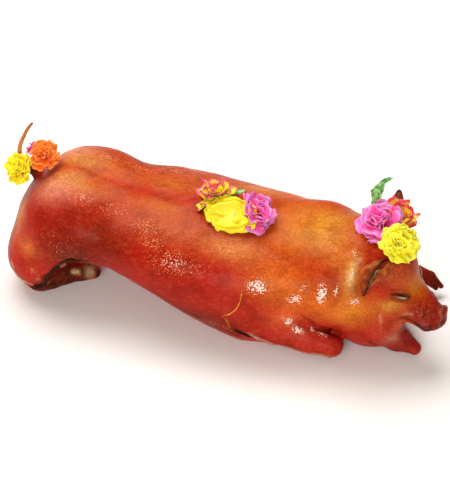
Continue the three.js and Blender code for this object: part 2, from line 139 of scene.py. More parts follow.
# Sections of the trunk: [x, half width, spine, height of the widest point, belly line].
# Half widths are shares of half the body's width and heights are shares of the back's height.
BODY_WIDTH = 216
BACK_HEIGHT = 151
TRUNK_SECTIONS = [
    [-305, 0.76, 0.92, 0.44, -0.05],
    [-265, 0.87, 1.03, 0.52, -0.03],
    [-222, 0.89, 1.1, 0.63, 0.16],
    [-180, 0.85, 1.05, 0.67, 0.3],
    [-140, 0.85, 1.0, 0.68, 0.31],
    [-100, 0.93, 1.01, 0.65, 0.24],
    [-50, 0.99, 1.01, 0.59, 0.06],
    [0, 1.0, 1.0, 0.53, -0.12],
    [55, 0.97, 0.995, 0.51, -0.16],
    [105, 0.84, 0.99, 0.6, 0.06],
    [150, 0.76, 0.98, 0.6, 0.1],
    [190, 0.63, 0.99, 0.57, 0.08],
]
SECTION_POWER = 2.3
RUMP_ROUND_X, RUMP_ROUND_LENGTH = -222, 80
TRUNK_END_X, TRUNK_END_FILLET = 185, 20

# Masses of flesh: centre, half lengths, pitch in degrees, fillet and the sides that they stand on.
BODY_FLESH = [
    ((172, 0, 88), (70, 64, 68), 0, 30, (1,)),  # neck
    ((54, 61, 58), (48, 38, 54), 20, 24, BOTH_SIDES),  # shoulders
    ((122, 46, 98), (50, 38, 46), 0, 20, (1,)),  # left shoulder blade
]
HAM = [(-194, 40, 103, 52), (-252, 54, 48, 50)]
HOLLOW = ((-190, 85, 30), (42, 45, 52))  # in front of the ham, above the folded shank

# Limbs as points (x, y, z, radius) from the body to the foot.
HIND_SHANK = [(-250, 74, 21, 21), (-222, 59, 20, 16), (-202, 47, 18, 12.5), (-187, 38, 15, 11)]
RIGHT_FORELEG = [(52, -64, 34, 33), (92, -70, 27, 26), (134, -73, 21, 20), (168, -75, 17, 16)]
LEFT_FORELEG = [(56, 66, 32, 31), (110, 77, 26, 24), (175, 84, 20, 15), (225, 86, 26, 10.5), (250, 85, 32, 8)]
LEFT_TOES = [
    [(249, 86, 33, 7.5), (268, 86, 27, 6.5), (284, 85, 14, 4)],
    [(250, 82, 30, 7), (264, 80, 25, 6), (278, 78, 15, 4)],
]
TAIL_ROOT = [(-258, 2, 134, 11), (-275, 3, 135, 8), (-287, 4, 142, 5)]
TAIL = [(-287, 4, 142, 5.4), (-297, 4, 152, 4), (-301, 4, 165, 3.2), (-300, 4, 177, 3), (-296, 4, 189, 2.8),
        (-291, 4, 200, 2.6), (-286, 4, 210, 2.4), (-281, 4, 218, 2.1), (-276, 4, 225, 1.6)]

# The head's own frame: u ahead of the neck, v to the pig's left, z up.
NECK_X = 168
HEAD_YAW = math.radians(-11)
HEAD_FLESH = [
    ((44, 0, 100), (50, 47, 58), 0, 16, (1,)),  # skull
    ((62, 0, 116), (26, 34, 32), 30, 14, (1,)),  # brow
    ((38, 22, 50), (54, 38, 54), 0, 18, BOTH_SIDES),  # jowls
    ((74, 14, 80), (26, 22, 24), 0, 12, BOTH_SIDES),  # cheeks
]
SNOUT = [(72, 0, 90, 29), (104, 0, 73, 23), (126, 0, 63, 17)]
LIP = [(86, 17, 80, 11), (118, 8, 53, 11)]
LOWER_JAW = [(46, -10, 30, 31), (84, -17, 18, 17), (110, -17, 10, 9.5)]
SNOUT_DISC = ((132, 0, 64), (8, 20, 18), 15)


def blend(a, b, fillet):
    """The least of two distances with a fillet: with h = 0.5 + 0.5 (b - a) / fillet held within 0 to 1,
    the result is b (1 - h) + a h - fillet h (1 - h)."""
    if not fillet:
        return np.minimum(a, b)
    share = np.clip(0.5 + 0.5 * (b - a) / fillet, 0, 1)
    return b * (1 - share) + a * share - fillet * share * (1 - share)


def ellipsoid(p, centre, half, pitch=0):
    """The distance to an ellipsoid turned by a pitch about Y: n (n - 1) / s, where n is the length of the
    offset over the half lengths and s is the length of the offset over their squares."""
    turn = math.radians(pitch)
    d = p - np.array(centre, float)
    u = d[:, 0] * math.cos(turn) - d[:, 2] * math.sin(turn)
    w = d[:, 0] * math.sin(turn) + d[:, 2] * math.cos(turn)
    q = np.stack([u, d[:, 1], w], 1)
    half = np.array(half, float)
    near = np.linalg.norm(q / half, axis=1)
    return near * (near - 1) / np.maximum(np.linalg.norm(q / half ** 2, axis=1), 1e-9)


def rod_share(p, start, end):
    """How far along a straight line the nearest point is, from 0 to 1, and the distance to it."""
    along = np.subtract(end, start)
    offset = p - np.array(start, float)
    share = np.clip(offset @ along / (along @ along), 0, 1)
    return share, np.linalg.norm(offset - share[:, None] * along, axis=1)


def limb(p, points, fillet=0):
    """The distance to round rods end to end, whose radii change evenly from point to point."""
    distance = None
    for start, end in zip(points, points[1:]):
        share, away = rod_share(p, start[:3], end[:3])
        rod = away - (start[3] + (end[3] - start[3]) * share)
        distance = rod if distance is None else blend(distance, rod, fillet)
    return distance


def on_side(points, side):
    """The points of a limb, mirrored for the right side."""
    return [(x, side * y, z, radius) for x, y, z, radius in points]


def smooth_table(rows, x):
    """Values at x of a cubic on each span between the rows, with mean slopes at the rows."""
    rows = np.asarray(rows, float)
    at = np.clip(x, rows[0, 0], rows[-1, 0])
    i = np.clip(np.searchsorted(rows[:, 0], at, side="right") - 1, 0, len(rows) - 2)
    before, after = np.maximum(i - 1, 0), np.minimum(i + 2, len(rows) - 1)
    span = rows[i + 1, :1] - rows[i, :1]
    t = (at[:, None] - rows[i, :1]) / span
    start_slope = (rows[i + 1, 1:] - rows[before, 1:]) / (rows[i + 1, :1] - rows[before, :1]) * span
    end_slope = (rows[after, 1:] - rows[i, 1:]) / (rows[after, :1] - rows[i, :1]) * span
    ends = rows[i, 1:] * (2 * t ** 3 - 3 * t ** 2 + 1) + rows[i + 1, 1:] * (3 * t ** 2 - 2 * t ** 3)
    return ends + start_slope * (t ** 3 - 2 * t ** 2 + t) + end_slope * (t ** 3 - t ** 2)


def flesh(p, distance, masses):
    """A form with ellipsoids of flesh blended on to it one after another."""
    for (x, y, z), half, pitch, fillet, sides in masses:
        for side in sides:
            mass = ellipsoid(p, (x, side * y, z), half, pitch)
            distance = mass if distance is None else blend(distance, mass, fillet)
    return distance


def trunk(p):
    """Squarish ovals along X: the powers of y, of the height from the widest point and of the way past the
    rump add up to 1 on the skin."""
    width, top, widest, belly = smooth_table(TRUNK_SECTIONS, p[:, 0]).T
    half_width = width * BODY_WIDTH / 2
    middle = widest * BACK_HEIGHT
    reach = np.where(p[:, 2] > middle, top * BACK_HEIGHT - middle, middle - belly * BACK_HEIGHT)
    behind = np.maximum(RUMP_ROUND_X - p[:, 0], 0) / RUMP_ROUND_LENGTH
    total = (np.abs(p[:, 1] / half_width) ** SECTION_POWER
             + np.abs((p[:, 2] - middle) / reach) ** SECTION_POWER + behind ** SECTION_POWER)
    distance = (total ** (1 / SECTION_POWER) - 1) * np.minimum(half_width, reach)
    return -blend(-distance, TRUNK_END_X - p[:, 0], TRUNK_END_FILLET)


def to_head(p):
    """Points of the row's frame in the head's frame: moved to the neck and turned by the head's yaw."""
    ahead = p[:, 0] - NECK_X
    cos, sin = math.cos(HEAD_YAW), math.sin(HEAD_YAW)
    return np.stack([ahead * cos + p[:, 1] * sin, p[:, 1] * cos - ahead * sin, p[:, 2]], 1)


def from_head(points):
    """Points (u, v, z) of the head's frame in the row's frame."""
    u, v, z = np.asarray(points, float)[:, :3].T
    cos, sin = math.cos(HEAD_YAW), math.sin(HEAD_YAW)
    return np.stack([NECK_X + u * cos - v * sin, u * sin + v * cos, z], 1)


def head(p):
    """Skull, brow, jowls, cheeks, snout with its disc, and the dropped lower jaw."""
    q = to_head(p)
    form = flesh(q, None, HEAD_FLESH)
    form = blend(form, limb(q, SNOUT, 8), 14)
    for side in BOTH_SIDES:
        form = blend(form, limb(q, on_side(LIP, side)), 6)
    form = blend(form, ellipsoid(q, *SNOUT_DISC), 3)
    return blend(form, limb(q, LOWER_JAW, 8), 7)


def pig_form(p):
    """The distance to the skin of the whole carcass without its ears."""
    body = flesh(p, trunk(p), BODY_FLESH)
    for side in BOTH_SIDES:
        body = blend(body, limb(p, on_side(HAM, side)), 18)
        (x, y, z), half = HOLLOW
        body = -blend(-body, ellipsoid(p, (x, side * y, z), half), 6)
        body = blend(body, limb(p, on_side(HIND_SHANK, side)[:2]), 10)
        body = blend(body, limb(p, on_side(HIND_SHANK, side)[1:], 5), 3)
    for foreleg in (RIGHT_FORELEG, LEFT_FORELEG):
        body = blend(body, limb(p, foreleg[:2]), 16)
        body = blend(body, limb(p, foreleg[1:], 8), 3)
    for toe in LEFT_TOES:
        body = blend(body, limb(p, toe, 3), 2)
    body = blend(body, head(p), 16)
    body = blend(body, limb(p, TAIL_ROOT, 3), 6)
    return -blend(-body, p[:, 2], 2)


# ---------------------------------------------------------------- creases, folds and painted zones

# Lines that are both pressed in and burnt, or both painted and laid on as a strip.
LID_FOLD = [(75, -36, 118), (82, -31, 119), (90, -22.5, 113.5), (96, -18, 106)]
SNOUT_WRINKLES = [
    [(111, -14, 97), (110, -20, 88), (108, -26, 78)],
    [(119, -12, 90), (118, -18, 82), (116, -22, 73)],
]
BELLY_EDGE = [(43, -106, 38), (54, -106, 34), (64, -103, 28)]
FORELEG_EDGE = [(63, -105, 36), (78, -99, 22), (99, -94, 14), (133, -93, 12), (178, -86, 12)]

# Lines pressed into the skin: depth (below 0 it stands out), half width and points (x, y, z).
FURROWS = [
    (1.0, 9, [(-205, 10, 164), (-177, 8, 158), (-147, 6, 152), (-103, 2, 152), (-64, -4, 153)]),  # spine
    (-0.6, 8, [(-174, 26, 158), (-148, 30, 151), (-112, 28, 150)]),  # muscle beside the spine
    (2.2, 7, [(61, -47, 145), (88, -55, 141), (118, -66, 134), (135, -78, 120)]),  # edge of the shoulder
    # over the foreleg, and the folds on the foreleg's edge
    (3.4, 4.5, [(125, -85, 72), (135, -80, 60), (143, -70, 45), (158, -64, 36), (176, -62, 26)]),
    (-1.8, 3.5, [(106, -89, 61), (115, -82, 46), (129, -83, 40)]),
    (-1.5, 3.0, [(141, -76, 40), (155, -76, 37), (168, -75, 33)]),
    (2.0, 5, [(-133, -84, 60), (-157, -84, 70), (-176, -88, 80), (-196, -92, 84)]),  # ham over the flank
    # behind the ear
    (-2.2, 6, [(180, -36, 152), (181, -45, 143), (184, -55, 132), (187, -62, 118), (190, -66, 108)]),
    (2.4, 5, [(194, -46, 144), (192, -56, 132), (196, -64, 116), (203, -68, 104)]),
    (1.5, 6, [(102, -20, 152), (125, -22, 153), (150, -28, 153), (170, -34, 152)]),  # neck folds
    (-1.2, 6, [(110, -6, 151), (135, -8, 154), (158, -14, 158)]),
]

# The same on both sides of the head, as points (u, v, z) of its frame on the right side.
HEAD_FURROWS = [
    (2.6, 5.2, [(78, -35, 108.5), (87, -28, 106), (94, -22, 101.5)]),  # eye socket
    (-1.6, 2.6, [(74, -38, 113.5), (83, -32, 113.5), (92, -25, 109.5), (97, -20, 103.5)]),  # upper lid
    (1.0, 1.8, LID_FOLD),
    (-1.2, 2.4, [(76, -38, 104), (85, -32, 100), (94, -25, 96.5)]),  # lower lid
    (1.6, 4.5, [(68, -47, 78), (70, -47, 66), (71, -48, 52)]),  # cheek crease
    (-1.2, 4.0, [(64, -48, 78), (65, -48, 64)]),
    (1.2, 2.6, SNOUT_WRINKLES[0]),
    (1.2, 2.4, SNOUT_WRINKLES[1]),
    (1.0, 2.2, [(103, -12, 103), (102, -20, 95), (100, -26, 86)]),  # bridge of the snout
    (1.8, 3.0, [(125, -12, 82), (124, -18, 74), (124, -20, 64), (125, -15, 53)]),  # behind the snout's disc
    (1.4, 4.0, [(74, -41, 70), (84, -36, 68), (94, -31, 64)]),  # over the mouth's corner
]
NOSTRILS = [(138, -7.5, 66), (138, 7.5, 66)]
NOSTRIL_DEPTH, NOSTRIL_HALF = 6, (7, 3.4, 4.6)
SWELLS = [(0.5, 60, 3), (0.22, 19, 4)]  # height and length of the skin's low swells, and their seed

# Painted zones: centre, half lengths, colour and strength, for the head in its own frame. They lie on both
# sides, or on the left side alone where y is above 0. A few of them are painted highlights or painted shade.
SKIN_ZONES = [
    ((-210, -90, 128), (60, 60, 40), "#981913", 0.9),  # ham, deep red
    ((-228, -22, 168), (38, 40, 16), "#BF1911", 0.6),  # top of the ham
    ((-262, -92, 90), (30, 34, 46), "#CC2E0D", 0.75),  # side of the rump
    ((-281, -58, 114), (12, 32, 30), "#E8881A", 0.75),  # golden back edge of the rump
    ((-196, 46, 160), (70, 26, 22), "#B5470D", 0.8),  # far side of the rump
    ((-200, -20, 166), (60, 18, 14), "#D2B644", 0.5),  # top of the rump
    ((-184, -100, 92), (40, 30, 26), "#41190D", 0.75),  # knee, darker
    ((-255, -95, 92), (15, 16, 12), "#E88A38", 0.6),  # golden patch on the ham
    ((-143, -88, 122), (40, 34, 34), "#78190D", 0.8),  # waist
    ((-120, 50, 150), (60, 34, 18), "#C43F0D", 0.7),  # far side of the back
    ((-40, -56, 150), (90, 30, 20), "#BF6133", 0.7),  # flank's upper band
    ((-55, -104, 88), (60, 26, 36), "#A4190D", 0.85),  # belly
    ((0, -110, 45), (70, 26, 26), "#76190D", 0.85),  # low body
    ((28, -96, 108), (36, 30, 30), "#B52424", 0.75),  # behind the shoulder
    ((95, -86, 118), (40, 30, 34), "#EF812C", 0.75),  # shoulder
    ((96, -14, 152), (42, 40, 16), "#D86D0D", 0.8),  # fore back
    ((132, -12, 154), (44, 30, 16), "#D49424", 0.8),  # neck, golden
    ((160, -44, 146), (20, 18, 16), "#D87E31", 0.6),  # neck beside the ear
    ((183, -58, 128), (12, 26, 34), "#D5913B", 0.8),  # fold behind the ear
    ((184, -55, 135), (6, 16, 22), "#FFD680", 0.7),  # painted highlight along the edge of that fold
    ((190, -72, 84), (34, 24, 26), "#E68D29", 0.85),  # jowl, golden
    ((150, -88, 100), (30, 22, 30), "#E5791D", 0.6),  # shoulder's front
    ((140, -84, 34), (60, 24, 22), "#BF362C", 0.85),  # foreleg
    ((183, -76, 18), (16, 20, 18), "#A4190D", 0.7),  # its end
    ((210, -64, 40), (26, 24, 20), "#B7231D", 0.6),  # under the jowl
    ((-208, -64, 28), (32, 22, 22), "#45160A", 1.0),  # folded shank: burnt, and painted shade under the ham
    ((-232, -78, 22), (22, 20, 22), "#4A170A", 0.9),  # upper end of the shank, darkened alike
    ((-187, -47, 24), (7, 11, 12), "#A89A70", 0.95),  # hoof
    ((268, 84, 26), (30, 16, 16), "#6A2414", 0.9),  # left fore toes
    ((-236, -42, 159), (32, 21, 16), "#F0A884", 0.6),  # painted highlight on the top of the ham
    ((107, -89, 65), (22, 18, 18), "#F3743B", 0.7),  # above the foreleg
    ((64, -105, 88), (26, 20, 24), "#AA1910", 0.6),  # below the shoulder
    ((30, -62, 140), (36, 18, 14), "#E3954E", 0.6),  # flank before the shoulder
    ((96, -40, 146), (24, 18, 12), "#CE681B", 0.6),  # top of the shoulder
    ((-176, -15, 158), (40, 18, 12), "#CA430D", 0.6),  # muscle along the rump
    ((-88, -24, 152), (44, 16, 10), "#C46C22", 0.6),  # muscle along the back
]
HEAD_ZONES = [
    ((78, -40, 92), (16, 16, 10), "#D19738", 0.85),  # under the eye
    ((76, -20, 134), (26, 22, 18), "#BD5C31", 0.8),  # forehead
    ((98, -6, 112), (20, 20, 16), "#F3970D", 0.6),  # bridge of the snout
    ((90, -34, 82), (14, 12, 10), "#CF5D2B", 0.6),  # before the cheek
    ((70, -46, 60), (16, 16, 22), "#C03D28", 0.75),  # below the cheek
    ((118, -20, 76), (20, 22, 20), "#98281C", 0.9),  # snout
    ((136, 0, 64), (9, 26, 22), "#7A1E14", 0.9),  # disc
    ((119, -21, 56), (9, 8, 6), "#9A8078", 0.55),  # painted wet highlight under the snout
    ((96, -20, 20), (28, 26, 20), "#922926", 0.85),  # lower jaw
    ((98, 0, 44), (34, 16, 12), "#782E1D", 0.9),  # inside of the mouth
    ((90, -30, 57), (16, 10, 12), "#D06633", 0.7),  # mouth's corner
    ((84, -38, 36), (12, 12, 12), "#C08068", 0.6),  # fat at the jaw
]

# Burnt lines and lines of pale fat on the body and on the head: strength, half width and points. They lie on
# both sides, or on the left side alone where y is above 0. Some burnt lines are painted shade in creases and
# hollows, and some pale lines are painted highlights.
CHAR_AND_SHADE_LINES = [
    (0.9, 6, [(-251, -97, 16), (-232, -96, 30), (-222, -94, 44), (-210, -92, 62), (-194, -90, 76),
              (-172, -84, 78)]),
    (0.7, 5, [(-258, -98, 14), (-248, -99, 18), (-238, -96, 14), (-226, -84, 12)]),
    (0.9, 3.2, [(-252, -97, 17), (-244, -100, 28), (-240, -98, 24), (-234, -98, 32)]),
    (0.85, 3, [(-238, -99, 32), (-232, -98, 40), (-231, -101, 51), (-225, -99, 55)]),
    (0.85, 2.6, [(-214, -99, 72), (-205, -100, 80), (-199, -99, 84), (-190, -98, 90)]),
    (0.75, 2.6, [(-190, -98, 91), (-182, -96, 89), (-174, -95, 91), (-166, -91, 83)]),
    (0.9, 3, [(-235, -95, 22), (-228, -86, 20), (-222, -79, 20), (-213, -73, 19), (-202, -63, 14),
              (-193, -57, 14)]),
    (0.95, 5, [(-175, -41, 22), (-175, -40, 8)]),
    (0.9, 5, [(-240, -86, 6), (-215, -72, 8), (-192, -56, 5)]),
    # painted shade along the lower edge of the belly
    (0.45, 3, [(-75, -103, 71), (-47, -104, 57), (-26, -104, 49), (-5, -103, 40)]),
    (0.8, 3, [(-26, -104, 48), (-5, -103, 39), (15, -103, 33), (37, -104, 28), (50, -104, 24)]),
    (0.55, 1.8, [(70, -101, 34), (88, -97, 26), (104, -94, 21), (133, -93, 18), (165, -88, 18)]),
    (0.9, 3.5, BELLY_EDGE),
    (0.7, 4, [(-120, -86, 44), (-90, -92, 36), (-50, -98, 26), (-20, -102, 16), (20, -104, 10)]),
    (0.8, 3, [(170, -64, 22), (178, -66, 14), (184, -70, 6)]),
    # painted shade in the crease over the foreleg
    (0.55, 3, [(125, -86, 74), (135, -80, 62), (143, -70, 48), (158, -64, 38)]),
    (0.95, 10, [(-276, -2, 134), (-283, 0, 139), (-289, 2, 144)]),
    (0.9, 4, [(280, 85, 16), (288, 85, 8)]),
    (0.9, 4, [(275, 77, 18), (283, 76, 10)]),
    (0.9, 3, [(-196, -53, 31), (-195, -55, 22), (-194, -55, 8)]),
    (0.85, 3, [(-181, -42, 27), (-178, -44, 16), (-180, -42, 6)]),
    (0.7, 3, [(-192, 42, 20), (-190, 40, 8)]),
]
HEAD_CHAR_AND_SHADE_LINES = [
    (1.0, 3.0, [(139, -7.5, 64), (140, -7.5, 69)]),  # nostrils, painted shade in their hollows
    (0.9, 2.4, [(76, -37, 110.5), (84, -31, 110.5), (92, -24, 106.5), (96, -20, 101.5)]),
    (0.45, 1.5, LID_FOLD),
    (0.55, 2.0, [(78, -37, 105), (86, -31, 102), (94, -24, 98.5)]),
    (0.6, 1.5, [(106, -25, 82), (109, -25, 76), (113, -23, 69)]),
    (0.65, 1.6, [(115, -18.5, 85), (119, -19, 79), (119, -21, 71)]),
    (0.6, 1.5, [(123, -13, 85), (126, -13, 78), (126, -17, 72)]),
    (0.6, 1.6, [(122, -19, 68), (127, -18, 64), (135, -18.5, 70)]),
    (0.85, 2.6, [(108, -24, 64), (117, -20, 57), (128, -18, 59), (137, -17, 64), (139, -13, 70)]),
    (0.85, 3.0, [(92, -31, 74), (104, -26, 67), (112, -23, 60), (118, -19, 53), (125, -17, 51),
                 (135, -15, 56)]),
    (0.8, 3.2, [(40, -54, 10), (54, -50, 8), (70, -38, 4), (90, -32, 2), (112, -24, 4)]),
    (0.75, 2.8, [(60, -56, 32), (68, -49, 22), (75, -40, 12), (84, -34, 8), (93, -33, 7)]),
    (0.4, 2.0, [(104, -13, 102), (103, -21, 94), (101, -27, 85)]),
    (0.5, 2.4, [(126, -14, 82), (126, -19, 70), (127, -17, 56)]),
    (0.6, 2.0, SNOUT_WRINKLES[0]),
    (0.6, 2.0, SNOUT_WRINKLES[1]),
]
FAT_AND_HIGHLIGHT_LINES = [
    (0.5, 2.6, FORELEG_EDGE),
    (0.95, 3.2, [(-207, -60, 29), (-201, -57, 27)]),
    (0.7, 1.6, [(-188, -48, 30), (-183, -46, 22)]),
    (0.75, 1.8, [(-223, -64, 38), (-219, -59, 38)]),
    (0.8, 1.6, [(-232, -93, 28), (-231, -90, 29)]),
    (0.7, 1.4, [(-241, -103, 42), (-239, -102, 45)]),
    (0.75, 1.3, [(-247, -104, 57), (-245, -104, 59)]),
    (0.7, 1.5, [(-227, -70, 41), (-226, -66, 42)]),
    # painted highlight streak along the foreleg, in the fat's colour
    (0.45, 2.8, [(104, -90, 66), (112, -86, 56), (119, -82, 46), (131, -84, 41)]),
    (0.6, 2.2, [(-281, -94, 56), (-280, -94, 44), (-274, -96, 32), (-262, -98, 26)]),
    # painted highlight along the fold behind the ear, in the fat's colour
    (0.5, 2.2, [(190, -38, 150), (184, -46, 145), (182, -55, 136), (185, -62, 126), (190, -65, 112)]),
]
HEAD_FAT_AND_HIGHLIGHT_LINES = [
    # painted highlight along the rim of the snout's disc
    (0.45, 1.4, [(130, -3, 83), (136, -8, 80), (139, -12, 74), (138, -16, 65)]),  # rim of the snout's disc
    # painted wet highlight along the edge of the mouth's corner
    (0.45, 1.8, [(92, -31, 77), (98, -29, 81), (104, -26, 80)]),  # edge of the mouth's corner
    (0.6, 1.8, [(68, -47, 78), (70, -47, 66), (71, -48, 54)]),
    (0.5, 5.0, [(76, -38, 40), (84, -34, 36)]),
]

# Patches where the skin has blisters: centre, half lengths and strength. The strength also sets how strongly
# the skin's material paints highlight glints on the bubbles.
BLISTERS_AND_GLINTS = [
    ((-45, -92, 123), (36, 26, 20), 0.53),
    ((-145, -46, 149), (34, 16, 12), 0.42),
    ((-78, -80, 137), (26, 14, 12), 0.45),
    ((-16, -92, 122), (24, 14, 12), 0.42),
    ((70, -93, 114), (17, 16, 13), 0.9),
    ((128, -82, 117), (12, 14, 9), 0.6),
    ((118, -87, 100), (13, 12, 12), 0.8),
    ((151, -78, 112), (8, 14, 18), 1.0),
    ((168, -72, 119), (6, 12, 12), 0.7),
    ((181, -34, 152), (8, 8, 8), 0.6),
    ((192, -67, 101), (9, 9, 8), 0.8),
    ((111, -86, 57), (8, 7, 9), 1.0),
    ((124, -83, 43), (10, 7, 6), 1.0),
    ((141, -76, 42), (8, 6, 5), 0.8),
    ((156, -75, 37), (11, 6, 5), 0.8),
    ((-225, -94, 42), (14, 10, 14), 0.5),
    ((10, -103, 36), (34, 8, 7), 0.5),
    ((-190, -45, 156), (26, 16, 12), 0.5),
    ((-210, -88, 110), (50, 26, 34), 0.28),
    ((-95, -60, 144), (40, 18, 14), 0.42),
    ((-170, 10, 158), (40, 16, 12), 0.36),
    ((10, -62, 140), (40, 20, 14), 0.36),
    ((-245, -98, 60), (18, 20, 16), 0.34),
    ((276, -40, 82), (22, 16, 20), 0.27),
    ((183, -55, 134), (4, 8, 14), 0.9),
    ((140, -20, 154), (30, 20, 10), 0.34),
]


def line_nearness(p, half_width, points):
    """1 on a line through the points, falling as a bell over its half width: exp(-(d / w) squared)."""
    away = np.min([rod_share(p, a, b)[1] for a, b in zip(points, points[1:])], axis=0)
    return np.exp(-(away / half_width) ** 2)


def patch_nearness(p, centre, half):
    """1 in the middle of a patch, falling as a bell over its half lengths."""
    return np.exp(-(((p - np.array(centre, float)) / np.array(half, float)) ** 2).sum(1))


def one_side(p):
    """Points with the left half of the body laid over the right one."""
    return p * [1, 0, 1] - np.abs(p) * [0, 1, 0]


WAVES = 9


def waves(p, length, seed):
    """A smooth random pattern from about -1 to 1: sine waves of about the given length, each in its own
    direction, added up and divided by the root of their number."""
    random = np.random.default_rng(seed)
    directions = unit(random.normal(size=(WAVES, 3))) * 2 * math.pi / length
    directions = directions * random.uniform(0.7, 1.4, (WAVES, 1))
    return np.sin(p @ directions.T + random.uniform(0, 2 * math.pi, WAVES)).sum(1) / math.sqrt(WAVES)


def towards(colour, target, share):
    """Colours moved towards one colour by a share of the way, point by point."""
    return colour + share[:, None] * (np.array(target) - colour)


def marked(at, laid, y):
    """The points to measure a mark from: as they are for a mark on the left, and else laid over."""
    return at if y > 0 else laid


def relief(p):
    """How far the skin stands out, in mm: low swells, minus the furrows."""
    q = to_head(p)
    mirrored = one_side(q)
    height = sum(rise * waves(p, length, seed) for rise, length, seed in SWELLS)
    for depth, half_width, points in FURROWS:
        height -= depth * line_nearness(p, half_width, points)
    for depth, half_width, points in HEAD_FURROWS:
        height -= depth * line_nearness(mirrored, half_width, points)
    for nostril in NOSTRILS:
        height -= NOSTRIL_DEPTH * patch_nearness(q, nostril, NOSTRIL_HALF)
    return height


def painted(p, base, char, fat):
    """The skin's colour, with some painted shade and highlights, how burnt it is, painted shade included, and
    how strongly it has blisters, which also sets the painted highlight glints, at each point.
    """
    q = to_head(p)
    sides = ((p, one_side(p)), (q, one_side(q)))
    colour = np.tile(np.array(base, float), (len(p), 1))
    for (at, laid), zones in zip(sides, (SKIN_ZONES, HEAD_ZONES)):
        for centre, half, code, strength in zones:
            near = patch_nearness(marked(at, laid, centre[1]), centre, half)
            colour = towards(colour, linear(code), strength * near)
    burnt = np.zeros(len(p))
    for lists, tint in (((FAT_AND_HIGHLIGHT_LINES, HEAD_FAT_AND_HIGHLIGHT_LINES), fat), ((CHAR_AND_SHADE_LINES, HEAD_CHAR_AND_SHADE_LINES), char)):
        for (at, laid), lines in zip(sides, lists):
            for strength, half_width, points in lines:
                share = strength * line_nearness(marked(at, laid, points[0][1]), half_width, points)
                colour = towards(colour, tint, share)
                if tint is char:
                    burnt = np.maximum(burnt, share)
    # Blistering, whose strength also sets the painted highlight glints on the bubbles.
    blisters = [strength * patch_nearness(sides[0][1], centre, half) for centre, half, strength in BLISTERS_AND_GLINTS]
    return colour, burnt, np.max(blisters, axis=0)


# ---------------------------------------------------------------- meshes

def grid_line(start, stretches):
    """Numbers from the start through each (end, step), evenly spaced within a stretch."""
    parts = [np.array([start], float)]
    for end, step in stretches:
        low = parts[-1][-1]
        parts.append(np.linspace(low, end, max(int(round((end - low) / step)), 1) + 1)[1:])
    return np.concatenate(parts)


SLABS = 24  # the grid is worked out in so many slabs, to save memory


def field_on(lines):
    """The form's distance at every crossing of the grid lines."""
    xs, ys, zs = lines
    plane = np.stack(np.meshgrid(ys, zs, indexing="ij"), -1).reshape(-1, 2)
    slabs = []
    for part in np.array_split(xs, SLABS):
        points = np.empty((len(part) * len(plane), 3))
        points[:, 0] = np.repeat(part, len(plane))
        points[:, 1:] = np.tile(plane, (len(part), 1))
        slabs.append(pig_form(points).reshape(len(part), len(ys), len(zs)))
    return np.concatenate(slabs)


def zero_surface(values, lines):
    """Surface nets: a vertex in each cell that the surface crosses, at the mean of its crossings of the
    cell's edges, and a quad round each grid edge that it crosses, facing outwards."""
    inside = values < 0
    shape = np.array(values.shape)
    corners = [(i, j, k) for i in (0, 1) for j in (0, 1) for k in (0, 1)]
    cells = tuple(shape - 1)
    count = sum(inside[i:i + cells[0], j:j + cells[1], k:k + cells[2]].astype(int) for i, j, k in corners)
    active = (count > 0) & (count < 8)
    index = np.full(cells, -1)
    index[active] = np.arange(active.sum())
    at = np.array(np.nonzero(active))
    total, found = np.zeros((at.shape[1], 3)), np.zeros(at.shape[1])
    for corner in corners:
        for axis in range(3):
            if corner[axis]:
                continue
            low = at + np.array(corner)[:, None]
            high = low.copy()
            high[axis] += 1
            start, end = values[tuple(low)], values[tuple(high)]
            crossed = (start < 0) != (end < 0)
            share = np.where(crossed, start / np.where(crossed, start - end, 1), 0)
            a = np.stack([line[low[n]] for n, line in enumerate(lines)], 1)
            b = np.stack([line[high[n]] for n, line in enumerate(lines)], 1)
            total += crossed[:, None] * (a + share[:, None] * (b - a))
            found += crossed
    quads = []
    for axis in range(3):
        one, two = (axis + 1) % 3, (axis + 2) % 3
        here = tuple(slice(0, -1) if n == axis else slice(None) for n in range(3))
        there = tuple(slice(1, None) if n == axis else slice(None) for n in range(3))
        edge = np.array(np.nonzero(inside[here] != inside[there]))
        keep = (edge[one] > 0) & (edge[two] > 0) & (edge[one] < shape[one] - 1) & (edge[two] < shape[two] - 1)
        edge = edge[:, keep]
        ring = []
        for a, b in ((1, 1), (0, 1), (0, 0), (1, 0)):
            cell = edge.copy()
            cell[one] -= a
            cell[two] -= b
            ring.append(index[tuple(cell)])
        quad = np.stack(ring, 1)
        outside = ~inside[tuple(edge)]
        quad[outside] = quad[outside, ::-1]
        quads.append(quad)
    return total / found[:, None], np.concatenate(quads)


NUDGE = 0.1
SETTLE_STEPS, LONGEST_STEP, LEAST_SLOPE = 3, 2, 0.2  # the least slope is squared


def slope_of(p):
    """The form's distance and its slope: its change over a small nudge along each axis."""
    here = pig_form(p)
    return here, np.stack([(pig_form(p + step) - here) / NUDGE for step in NUDGE * np.eye(3)], 1)


def settle(p):
    """Points moved along the form's slope on to its zero surface, and the directions outwards there."""
    for _ in range(SETTLE_STEPS):
        value, slope = slope_of(p)
        step = value / np.maximum((slope ** 2).sum(1), LEAST_SLOPE)
        p = p - np.clip(step, -LONGEST_STEP, LONGEST_STEP)[:, None] * slope
    return p, unit(slope_of(p)[1])


